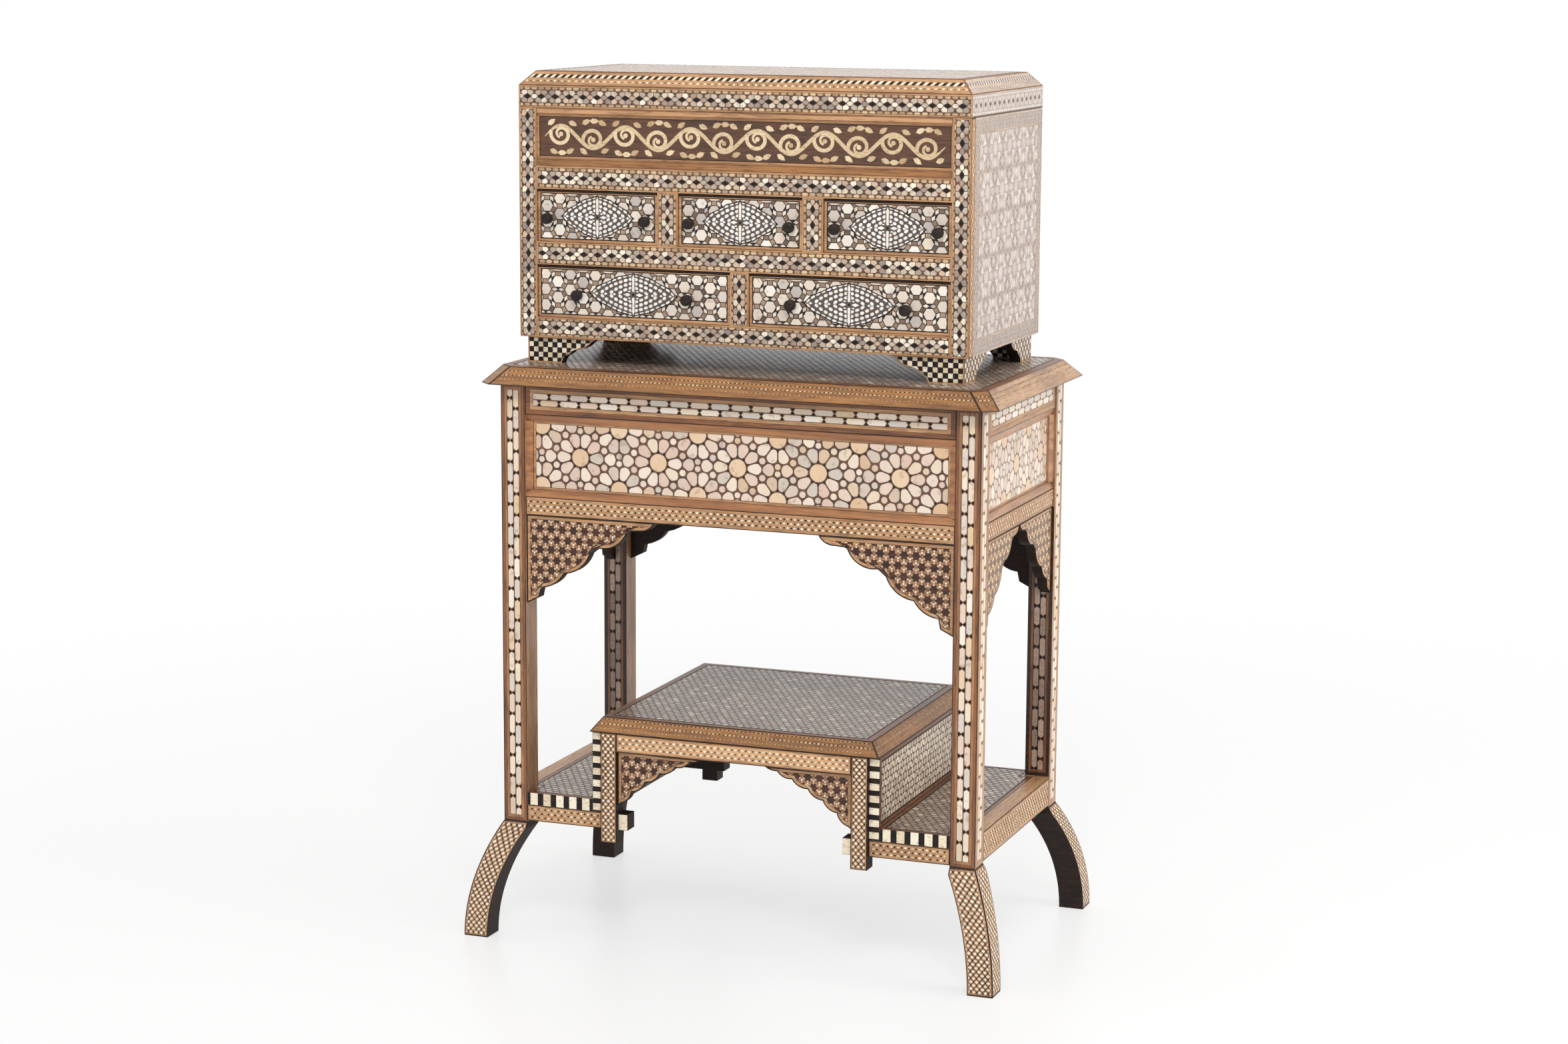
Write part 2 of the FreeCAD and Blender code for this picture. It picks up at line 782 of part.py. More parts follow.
def make_front_frame():
    """The stiles, rails and dividers of the chest's front, which the drawers and the frieze sit between."""
    depth = (CHEST_FRONT, INSIDE_FRONT)
    full_height = (BODY_FOOT, BODY_TOP)
    opening = (OPENING_LEFT, OPENING_RIGHT)
    pieces = [
        block("stile_left", (CHEST_LEFT, OPENING_LEFT), depth, full_height),
        block("stile_right", (OPENING_RIGHT, CHEST_RIGHT), depth, full_height),
        block("rail_bottom", opening, depth, (BODY_FOOT, LOWER_FLOOR)),
        block("rail_middle", opening, depth, (LOWER_CEILING, UPPER_FLOOR)),
        block("rail_upper", opening, depth, (UPPER_CEILING, FRIEZE_FOOT)),
        block("rail_top", opening, depth, (FRIEZE_TOP, BODY_TOP)),
    ]
    for index, width in enumerate(dividers_between(SMALL_OPENINGS)):
        pieces.append(block(f"divider_small_{index}", width, depth, (UPPER_FLOOR, UPPER_CEILING)))
    for index, width in enumerate(dividers_between(WIDE_OPENINGS)):
        pieces.append(block(f"divider_wide_{index}", width, depth, (LOWER_FLOOR, LOWER_CEILING)))
    return together("chest_front_frame", pieces)


def make_chest_case(back_screws):
    """The boards of the chest: sides, back, bottom, dust board, the floor of the well and the frieze."""
    deep = (INSIDE_FRONT, CHEST_BACK)
    tall = (BODY_FOOT, BODY_TOP)
    inside = (INSIDE_LEFT, INSIDE_RIGHT)
    inside_deep = (INSIDE_FRONT, INSIDE_BACK)
    panel_front = CHEST_FRONT + S["frieze_panel_recess"]
    panel_deep = (panel_front, panel_front + S["frieze_panel_thickness"])
    well_floor_top = UPPER_CEILING + S["well_floor_thickness"]
    sides = [
        block("chest_side_left", (CHEST_LEFT, INSIDE_LEFT), deep, tall),
        block("chest_side_right", (INSIDE_RIGHT, CHEST_RIGHT), deep, tall),
    ]
    back = block("chest_back_board", inside, (INSIDE_BACK, CHEST_BACK), tall)
    return [
        together("chest_sides", sides),
        cut("chest_back", back, back_screws),
        block("chest_bottom", inside, inside_deep, (LOWER_FLOOR - S["bottom_thickness"], LOWER_FLOOR)),
        block("dust_board", inside, inside_deep, (UPPER_FLOOR - S["dust_board_thickness"], UPPER_FLOOR)),
        block("well_floor", inside, inside_deep, (UPPER_CEILING, well_floor_top)),
        block("frieze_board", (OPENING_LEFT, OPENING_RIGHT), panel_deep, (FRIEZE_FOOT, FRIEZE_TOP)),
    ]


def make_drawer_guides():
    """The battens on the boards under the drawers that keep each drawer running straight."""
    battens = []
    for row, floor, openings in (
        ("lower", LOWER_FLOOR, WIDE_OPENINGS),
        ("upper", UPPER_FLOOR, SMALL_OPENINGS),
    ):
        widths = [(INSIDE_LEFT, OPENING_LEFT), *dividers_between(openings), (OPENING_RIGHT, INSIDE_RIGHT)]
        for index, width in enumerate(widths):
            label = f"guide_{row}_{index}"
            height = (floor, floor + S["guide_height"])
            battens.append(block(label, width, (INSIDE_FRONT, INSIDE_BACK), height))
    return together("drawer_guides", battens)


def bracket_outline(corner, direction, start, length):
    """A bracket's face: plumb at the corner, a flat toe on the ground and an ogee up to the body."""
    toe = S["bracket_toe_length"]
    slope = S["bracket_length"] - toe
    height = S["bracket_height"]
    outline = [(corner + direction * start, height), (corner + direction * start, ZERO)]
    points = [
        (corner + direction * (toe + slope * along), height * up, swell)
        for along, up, swell in BRACKET_EDGE_SHARES
    ]
    for (place, rise, swell), following in zip(points, points[1:]):
        radius = arc_radius((place, rise), following[:2], abs(swell))
        outline.append((place, rise, radius, (swell > 0) == (direction > 0)))
    outline.append(points[-1][:2])
    return outline


def make_chest_feet():
    """Four corner feet, each a front or back bracket with a side bracket butted behind it."""
    boards = []
    thickness = S["bracket_thickness"]
    half_width = S["chest_width"] / 2 - S["bracket_inset"]
    half_depth = S["chest_depth"] / 2 - S["bracket_inset"]
    for end_name, end in ENDS.items():
        for side_name, side in SIDES.items():
            label = f"bracket_{end_name}_{side_name}"
            wide = bracket_outline(half_width * side, -side, ZERO, S["bracket_length"])
            deep = bracket_outline(half_depth * end, -end, thickness, S["bracket_length"])
            depth = CHEST_Y + span(end, half_depth - thickness, half_depth)[0]
            width = CHEST_X + span(side, half_width - thickness, half_width)[0]
            boards.append(
                sawn(label + "_wide", "XZ_Plane", wide, thickness, (CHEST_X, depth, STAND_SURFACE))
            )
            boards.append(
                sawn(label + "_deep", "YZ_Plane", deep, thickness, (width, CHEST_Y, STAND_SURFACE))
            )
    return together("chest_feet", boards)


def make_drawer(name, opening, floor, knob_inset):
    """One drawer: an inlaid front, a box of five thin boards behind it and two turned knobs."""
    left = opening[0] + S["drawer_side_gap"]
    right = opening[1] - S["drawer_side_gap"]
    foot = floor + S["drawer_bottom_gap"]
    top = floor + S["drawer_opening_height"] - S["drawer_top_gap"]
    front = CHEST_FRONT + S["drawer_recess"]
    back_of_front = front + S["drawer_front_thickness"]
    back = INSIDE_BACK - S["drawer_back_room"]
    side_thickness = S["drawer_side_thickness"]
    bottom_top = foot + S["drawer_bottom_thickness"]
    box_top = top - S["drawer_side_drop"]
    inner_back = back - S["drawer_back_thickness"]
    inside = (left + side_thickness, right - side_thickness)
    label = f"{name}_drawer"
    blank = block(label + "_blank", (left, right), (front, back_of_front), (foot, top))
    boards = [
        block(label + "_left", (left, inside[0]), (back_of_front, back), (foot, box_top)),
        block(label + "_right", (inside[1], right), (back_of_front, back), (foot, box_top)),
        block(label + "_back", inside, (inner_back, back), (foot, box_top)),
        block(label + "_bottom", inside, (back_of_front, inner_back), (foot, bottom_top)),
    ]
    knob_places = (opening[0] + knob_inset, opening[1] - knob_inset)
    height = floor + S["drawer_opening_height"] / 2 - S["knob_below_middle"]
    knobs = [
        make_knob(f"{label}_knob_{side_name}", place, front, height)
        for side_name, place in zip(SIDES, knob_places)
    ]
    return [
        cut(label + "_front", blank, knobs),
        together(label + "_box", boards),
        together(label + "_knobs", knobs),
    ]


def make_knob(label, place, face, height):
    """A turned knob: a rounded head on a slim neck, with a spigot that goes into the drawer's front."""
    body = doc.addObject("PartDesign::Body", label)
    sketch = new_sketch(body, label + "_profile", "XY_Plane")
    reach = S["knob_neck_length"] + S["knob_head_length"]
    rounding = S["knob_rounding"]
    spigot_radius = S["knob_spigot_radius"]
    outline = [
        (ZERO, S["knob_spigot_length"]),
        (ZERO, -reach),
        (S["knob_radius"] - rounding, -reach, rounding, True),
        (S["knob_radius"], rounding - reach),
        (S["knob_radius"], -S["knob_neck_length"]),
        (S["knob_neck_radius"], -S["knob_neck_length"]),
        (S["knob_neck_radius"], ZERO),
        (spigot_radius, ZERO),
        (spigot_radius, S["knob_spigot_length"]),
    ]
    draw(sketch, outline)
    turning = body.newObject("PartDesign::Revolution", label + "_turning")
    turning.Profile = sketch
    turning.ReferenceAxis = (sketch, ["V_Axis"])
    turning.Angle = 360
    put(body, (place, face, height))
    return body


def make_lid(rim_screws):
    """The lid: a rim of four boards and a bevelled board on top of them."""
    foot = BODY_TOP + S["lid_gap"]
    top = foot + S["lid_rim_height"]
    height = (foot, top)
    thickness = S["lid_rim_thickness"]
    wide = (CHEST_LEFT, CHEST_RIGHT)
    between = (CHEST_FRONT + thickness, CHEST_BACK - thickness)
    back = block("lid_rim_back_board", wide, (between[1], CHEST_BACK), height)
    rim = together(
        "lid_rim",
        [
            block("lid_rim_front", wide, (CHEST_FRONT, between[0]), height),
            cut("lid_rim_back", back, rim_screws),
            block("lid_rim_left", (CHEST_LEFT, CHEST_LEFT + thickness), between, height),
            block("lid_rim_right", (CHEST_RIGHT - thickness, CHEST_RIGHT), between, height),
        ],
    )
    half_width = S["chest_width"] / 2
    half_depth = S["chest_depth"] / 2
    bevel = S["lid_top_bevel"]
    lid_top = bevelled(
        "lid_top",
        plain_outline(half_width, half_depth),
        plain_outline(half_width - bevel, half_depth - bevel),
        S["lid_top_thickness"],
        (CHEST_X, CHEST_Y, top),
    )
    return [rim, lid_top]


# Where the hinges are: their pins' axis, and each one's left end.
HINGE_Y = CHEST_BACK + S["barrel_radius"]
HINGE_Z = BODY_TOP + S["lid_gap"] / 2
HINGE_STARTS = {
    name: CHEST_X + (S["chest_width"] / 2 - S["hinge_inset"]) * side - S["leaf_width"] / 2
    for name, side in SIDES.items()
}
KNUCKLE_LENGTH = S["leaf_width"] / 3


def hinge_rod(label, radius, start, length):
    return rod(label, radius, length, (start, HINGE_Y, HINGE_Z), "x")


def make_screws(name, direction):
    """The screws of a hinge's lower leaf (direction -1) or upper leaf (1)."""
    screws = []
    height = HINGE_Z + S["leaf_height"] * SCREW_HEIGHT_SHARE * direction
    face = CHEST_BACK + S["leaf_thickness"]
    for share in SCREW_WIDTH_SHARES:
        label = f"screw_{name}_{'upper' if direction > 0 else 'lower'}_{len(screws)}"
        place = (HINGE_STARTS[name] + S["leaf_width"] * share, face, height)
        head = doc.addObject("Part::Cone", label + "_head")
        bind(head, "Radius1", S["screw_head_radius"])
        bind(head, "Radius2", S["screw_shank_radius"])
        bind(head, "Height", S["leaf_thickness"])
        head.Placement.Rotation = FreeCAD.Rotation(Vector(1, 0, 0), 90)
        put(head, place)
        shank = rod(label + "_shank", S["screw_shank_radius"], S["screw_length"], place, "-y")
        screws.append(joined(label, [head, shank]))
    return screws


def leaf(label, start, height, knuckles):
    """A flat leaf with its knuckles, before the room for the other leaf is cut away."""
    depth = (CHEST_BACK, CHEST_BACK + S["leaf_thickness"])
    pieces = [block(label + "_plate", (start, start + S["leaf_width"]), depth, height)]
    for index, (place, length) in enumerate(knuckles):
        pieces.append(hinge_rod(f"{label}_barrel_{index}", S["barrel_radius"], place, length))
    return joined(label, pieces)


def make_lower_leaf(name, screws):
    """The leaf on the chest's back, whose two outer knuckles hold the pin."""
    start = HINGE_STARTS[name]
    last_knuckle = start + KNUCKLE_LENGTH * 2
    label = f"hinge_{name}_lower"
    height = (HINGE_Z - S["leaf_height"], HINGE_Z)
    blank = leaf(label, start, height, ((start, KNUCKLE_LENGTH), (last_knuckle, KNUCKLE_LENGTH)))
    room_radius = S["barrel_radius"] + S["knuckle_gap"]
    room = [
        hinge_rod(label + "_room", room_radius, start + KNUCKLE_LENGTH, KNUCKLE_LENGTH),
        hinge_rod(label + "_bore", S["pin_radius"], start, S["leaf_width"]),
    ]
    return cut(label + "_leaf", blank, [joined(label + "_hollow", room), *screws])


def make_upper_leaf(name, screws):
    """The leaf on the lid's back, whose middle knuckle turns on the pin."""
    start = HINGE_STARTS[name]
    label = f"hinge_{name}_upper"
    height = (HINGE_Z, HINGE_Z + S["leaf_height"])
    gap = S["knuckle_gap"]
    room_radius = S["barrel_radius"] + gap
    room_length = KNUCKLE_LENGTH + gap
    blank = leaf(label, start, height, ((start + room_length, KNUCKLE_LENGTH - gap * 2),))
    last_room = start + KNUCKLE_LENGTH * 2 - gap
    room = [
        hinge_rod(label + "_room_left", room_radius, start, room_length),
        hinge_rod(label + "_room_right", room_radius, last_room, room_length),
        hinge_rod(label + "_bore", S["pin_radius"] + S["pin_clearance"], start, S["leaf_width"]),
    ]
    return cut(label + "_leaf", blank, [joined(label + "_hollow", room), *screws])


def make_stand():
    pieces = [make_stand_top()]
    for end_name in ENDS:
        for side_name in SIDES:
            pieces.append(make_post(end_name, side_name))
            pieces.append(make_foot(end_name, side_name))
    faces = [(name, end, True) for name, end in ENDS.items()]
    faces += [(name, side, False) for name, side in SIDES.items()]
    for name, side, frontal in faces:
        rails = [
            tenoned_rail(f"{name}_{level}_rail", side, frontal, heights)
            for level, heights in RAIL_LEVELS.items()
        ]
        pieces.append(together(f"{name}_rails", rails))
        pieces.append(make_panel(name, side, frontal))
        pieces.append(make_spandrels(name, side, frontal))
    return pieces


def make_step():
    pieces = [together("shelves", [make_shelf(name, side) for name, side in SIDES.items()])]
    pieces += [make_shelf_rails(side_name) for side_name in SIDES]
    pieces += [
        make_step_sides(),
        make_step_legs(),
        make_step_rails(),
        make_step_spandrels(),
        make_step_top(),
    ]
    return pieces


def make_chest():
    """The chest with its drawers, its lid, and the hinges on its back."""
    lower_screws = {name: make_screws(name, -1) for name in SIDES}
    upper_screws = {name: make_screws(name, 1) for name in SIDES}
    all_lower = [screw for screws in lower_screws.values() for screw in screws]
    all_upper = [screw for screws in upper_screws.values() for screw in screws]
    pieces = make_chest_case(all_lower)
    pieces += [make_front_frame(), make_drawer_guides(), make_chest_feet()]
    for name, opening in zip(SMALL_DRAWERS, SMALL_OPENINGS):
        pieces += make_drawer(f"small_{name}", opening, UPPER_FLOOR, S["small_knob_inset"])
    for name, opening in zip(WIDE_DRAWERS, WIDE_OPENINGS):
        pieces += make_drawer(f"wide_{name}", opening, LOWER_FLOOR, S["wide_knob_inset"])
    pieces += make_lid(all_upper)
    pins = [
        hinge_rod(f"hinge_{name}_pin", S["pin_radius"], start, S["leaf_width"])
        for name, start in HINGE_STARTS.items()
    ]
    return pieces + [
        together("chest_hinge_leaves", [make_lower_leaf(name, lower_screws[name]) for name in SIDES]),
        together("lid_hinge_leaves", [make_upper_leaf(name, upper_screws[name]) for name in SIDES]),
        together("hinge_pins", pins),
        together("chest_hinge_screws", all_lower),
        together("lid_hinge_screws", all_upper),
    ]


def check_document():
    """Stops if any object of the document failed to build."""
    for thing in doc.Objects:
        if {"Invalid", "Error"} & set(thing.State):
            raise RuntimeError(f"{thing.Label} failed: {thing.State}")


def write_pieces(pieces):
    """Checks every sub-part and writes each to a file of its own."""
    for piece in pieces:
        if piece.Shape.isNull() or not piece.Shape.isValid() or not piece.Shape.Solids:
            raise RuntimeError(f"{piece.Label} has no sound shape")
    os.makedirs("parts", exist_ok=True)
    for piece in pieces:
        piece.Shape.exportStep(os.path.join("parts", piece.Label + ".step"))


all_pieces = make_stand() + make_step() + make_chest()
doc.recompute()
check_document()
write_pieces(all_pieces)
print(len(all_pieces), "sub-parts written")
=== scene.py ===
import math

import bmesh
import bpy
from mathutils import Matrix, Vector


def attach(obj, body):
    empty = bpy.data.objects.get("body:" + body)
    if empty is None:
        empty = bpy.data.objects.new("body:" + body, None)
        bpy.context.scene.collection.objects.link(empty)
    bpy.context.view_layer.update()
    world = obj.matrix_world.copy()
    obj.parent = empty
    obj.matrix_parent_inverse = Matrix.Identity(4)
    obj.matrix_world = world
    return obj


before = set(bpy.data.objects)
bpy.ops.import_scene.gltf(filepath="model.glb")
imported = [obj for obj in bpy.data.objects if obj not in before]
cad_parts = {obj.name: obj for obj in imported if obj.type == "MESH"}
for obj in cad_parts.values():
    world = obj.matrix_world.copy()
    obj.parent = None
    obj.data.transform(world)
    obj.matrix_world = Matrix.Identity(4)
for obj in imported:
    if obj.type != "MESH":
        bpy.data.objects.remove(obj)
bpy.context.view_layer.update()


# Feet. Four sabre feet of walnut, sawn from the thick, swept sideways and to the front or back.
# Their two outer faces carry rows of small bone tiles and dark studs in a brown ground, with tan strips at the edges.
# The tiles are cut thin, glued on and scraped level, so that they stand a hair above the wood.
MM = 0.001


def colour(red, green, blue):
    """A paint colour given as 0 to 255, as the shader wants it."""
    return [((c / 255 + 0.055) / 1.055) ** 2.4 if c > 10 else c / 3295 for c in (red, green, blue)] + [1.0]


def operator(operation, turned=False):
    """The method behind one arithmetic sign of a Wire; turned is for a plain number on its left."""
    return lambda wire, other: wire.maths(operation, *((other, wire) if turned else (wire, other)))


class Wire:
    """One output in a node tree. Arithmetic on it adds Math nodes."""

    __add__, __radd__ = operator("ADD"), operator("ADD", True)
    __sub__, __rsub__ = operator("SUBTRACT"), operator("SUBTRACT", True)
    __mul__, __rmul__ = operator("MULTIPLY"), operator("MULTIPLY", True)
    __truediv__, __mod__ = operator("DIVIDE"), operator("FLOORED_MODULO")
    __gt__, __lt__ = operator("GREATER_THAN"), operator("LESS_THAN")

    def __init__(self, nodes, socket):
        self.nodes = nodes
        self.socket = socket

    def __abs__(self):
        return self.maths("ABSOLUTE", self)

    def other(self, name):
        return Wire(self.nodes, self.socket.node.outputs[name])

    def maths(self, operation, *values):
        return self.nodes.node("ShaderNodeMath", {"operation": operation}, values)


class Nodes:
    """A node tree in the making, of a shape or of a finish."""

    def __init__(self, tree):
        self.tree = tree

    def node(self, kind, settings=None, sockets=(), output=0):
        """Any node: its settings first, then the values or links of its sockets."""
        made = self.tree.nodes.new(kind)
        for name, value in (settings or {}).items():
            if name == "stops":
                while len(made.color_ramp.elements) < len(value):
                    made.color_ramp.elements.new(0.5)
                for element, (place, paint) in zip(made.color_ramp.elements, value):
                    element.position, element.color = place, colour(*paint)
            else:
                setattr(made, name, value)
        for key, value in sockets.items() if isinstance(sockets, dict) else enumerate(sockets):
            self.join(made.inputs[key], value)
        return Wire(self, made.outputs[output]) if len(made.outputs) else None

    def join(self, socket, value):
        if isinstance(value, Wire):
            self.tree.links.new(value.socket, socket)
        else:
            socket.default_value = value


class Finish(Nodes):
    """A finish for wood, shell, bone or metal: a Principled shader and what varies over the surface."""

    def __init__(self, name):
        self.material = bpy.data.materials.new(name)
        self.material.use_nodes = True
        super().__init__(self.material.node_tree)
        self.shader = self.tree.nodes["Principled BSDF"]
        self.place = self.node("ShaderNodeTexCoord", output="Object")

    def axes(self):
        along = self.node("ShaderNodeSeparateXYZ", None, [self.place])
        return along, along.other("Y"), along.other("Z")

    def mix(self, share, *pair, way="MIX"):
        """Two colours mixed, each of them a wire or a paint of 0 to 255."""
        first, second = [paint if isinstance(paint, Wire) else colour(*paint) for paint in pair]
        return self.node("ShaderNodeMix", {"data_type": "RGBA", "blend_type": way}, {0: share, 6: first, 7: second}, 2)

    def noise(self, scale, detail, stretch=(1, 1, 1)):
        place = self.node("ShaderNodeMapping", None, {"Vector": self.place, "Scale": stretch})
        return self.node("ShaderNodeTexNoise", None, {"Vector": place, "Scale": scale, "Detail": detail})

    def ramp(self, share, stops):
        return self.node("ShaderNodeValToRGB", {"stops": stops}, [share])

    def bump(self, height, depth, strength):
        return self.node("ShaderNodeBump", None, {"Strength": strength, "Distance": depth, "Height": height})

    def done(self, **sockets):
        """Sets the shader's sockets, an underscore for each space in their names."""
        for name, value in sockets.items():
            self.join(self.shader.inputs[name.replace("_", " ")], value)
        return self.material


def timber(name, dark, light, along, polish=0.42, pores=0.35):
    """Oiled wood with its grain along one axis: long streaks, fine pores and a slow change of tone."""
    wood = Finish(name)
    stretch = [1.0 if axis == along else 14.0 for axis in range(3)]
    streaks = wood.noise(9.0, 5.0, stretch)
    fine = wood.noise(46.0, 3.0, stretch)
    slow = wood.noise(5.0, 1.0)
    tone = wood.ramp(streaks * 0.6 + fine * 0.25 + slow * 0.25, [(0.36, dark), (0.66, light)])
    deep = wood.mix((fine < 0.42) * pores, tone, [c * 0.45 for c in dark])
    return wood.done(
        Base_Color=deep,
        Roughness=polish + streaks * 0.2 - 0.05,
        Normal=wood.bump(fine, 0.0004, 0.4),
        Coat_Weight=0.25,
        Coat_Roughness=0.3,
    )


def shell_finish(name, stops, rough=0.24):
    """Mother of pearl: each tile its own tint, with cloudy watered bands and a thin polish."""
    shell = Finish(name)
    shade = shell.node("ShaderNodeAttribute", {"attribute_name": "shade"}, output="Fac")
    cloud = shell.noise(95.0, 3.0, (1.0, 1.6, 1.0))
    water = shell.noise(260.0, 2.0, (1.0, 1.0, 2.2))
    tint = shell.ramp(shade, stops)
    clouded = shell.mix(cloud * 0.5, tint, (252, 246, 232), way="SOFT_LIGHT")
    rosy = shell.mix((water - 0.4) * 0.5, clouded, (214, 178, 168))
    worn = shell.mix((cloud < 0.36) * 0.28, rosy, (120, 88, 62))
    return shell.done(
        Base_Color=worn,
        Roughness=rough + cloud * 0.2,
        Normal=shell.bump(cloud, 0.0002, 0.3),
        Coat_Weight=0.35,
        Coat_Roughness=0.12,
    )


def bone_finish(name, dark, light):
    """Sawn bone: warm cream tiles with brown fibres and dirt in the pores."""
    bone = Finish(name)
    shade = bone.node("ShaderNodeAttribute", {"attribute_name": "shade"}, output="Fac")
    fibre = bone.noise(160.0, 3.0, (1.0, 1.0, 3.0))
    body = bone.ramp(shade * 0.6 + fibre * 0.4, [(0.15, dark), (0.75, light)])
    dirty = bone.mix((fibre < 0.4) * 0.35, body, (118, 78, 44))
    return bone.done(
        Base_Color=dirty,
        Roughness=0.36 + fibre * 0.2,
        Normal=bone.bump(fibre, 0.0002, 0.35),
        Coat_Weight=0.25,
        Coat_Roughness=0.25,
    )


def black_finish(name, dark, light, gloss=0.3):
    """Blackened wood: near black, with brown showing where the stain has worn."""
    wood = Finish(name)
    grain = wood.noise(70.0, 4.0, (1.0, 1.0, 3.0))
    body = wood.ramp(grain, [(0.35, dark), (0.72, light)])
    return wood.done(
        Base_Color=body,
        Roughness=0.64 - gloss + grain * 0.2,
        Normal=wood.bump(grain, 0.0002, 0.4),
        Specular_IOR_Level=0.3,
        Coat_Weight=gloss,
        Coat_Roughness=0.2,
    )


walnut_x, walnut_z = [timber(f"walnut_{'xyz'[axis]}", (74, 40, 22), (142, 88, 50), axis) for axis in (0, 2)]
honey_x, honey_y, honey_z = [timber(f"honey_{'xyz'[axis]}", (142, 98, 60), (202, 154, 108), axis) for axis in range(3)]
tan_ground = timber("tan_ground", (148, 104, 70), (198, 152, 108), 0, 0.5)
pearl = shell_finish(
    "pearl",
    [
        (0.0, (244, 236, 222)),
        (0.22, (232, 214, 190)),
        (0.42, (222, 194, 176)),
        (0.6, (206, 200, 190)),
        (0.8, (216, 184, 146)),
        (1.0, (242, 228, 206)),
    ],
)
bone = bone_finish("bone", (196, 158, 112), (244, 226, 192))
ivory = bone_finish("ivory", (226, 204, 168), (250, 238, 214))
black = black_finish("black_wood", (10, 7, 6), (40, 26, 19), 0.06)
# A near-black stain for the backs, inner faces and sawn edges, also made this dark to paint the shade on them.
stain_and_shade = black_finish("stain_and_shade_backs", (22, 12, 8), (50, 32, 22), 0.04)
pewter = shell_finish(
    "pewter_shell",
    [
        (0.0, (244, 228, 206)),
        (0.2, (140, 122, 110)),
        (0.4, (204, 174, 148)),
        (0.6, (128, 118, 112)),
        (0.8, (204, 190, 168)),
        (1.0, (248, 236, 216)),
    ],
)
bone_set, ivory_set = (pearl, black, bone), (pearl, black, ivory)


def tile(sides, size, at=(0, 0), turn=0.0, long=1.0):
    """Corners of a regular tile, in millimetres, from its middle to a corner; long stretches it along x."""
    angles = [2 * math.pi * i / sides for i in range(sides)]
    return shifted([(size * long * math.cos(angle), size * math.sin(angle)) for angle in angles], at, turn)


def star(points, outer, inner, at=(0, 0), turn=0.0):
    """Corners of a star tile."""
    rays = [(inner if i % 2 else outer, math.pi * i / points) for i in range(2 * points)]
    return shifted([(reach * math.cos(angle), reach * math.sin(angle)) for reach, angle in rays], at, turn)


def shifted(corners, at=(0, 0), turn=0.0):
    """The corners turned by degrees and then moved."""
    c, s = math.cos(math.radians(turn)), math.sin(math.radians(turn))
    return [(x * c - y * s + at[0], x * s + y * c + at[1]) for x, y in corners]


def flat_mesh(polygons, marks=None):
    """A mesh of flat polygons given in millimetres, with a mark on each for its kind of tile."""
    corners, faces = [], []
    for polygon in polygons:
        faces.append(list(range(len(corners), len(corners) + len(polygon))))
        corners += [(x * MM, y * MM, 0) for x, y in polygon]
    mesh = bpy.data.meshes.new("flat")
    mesh.from_pydata(corners, [], faces)
    if marks is not None:
        mesh.attributes.new("kind", "INT", "FACE").data.foreach_set("value", marks)
    return mesh


KINDS = ("Pale", "Dark", "Warm")


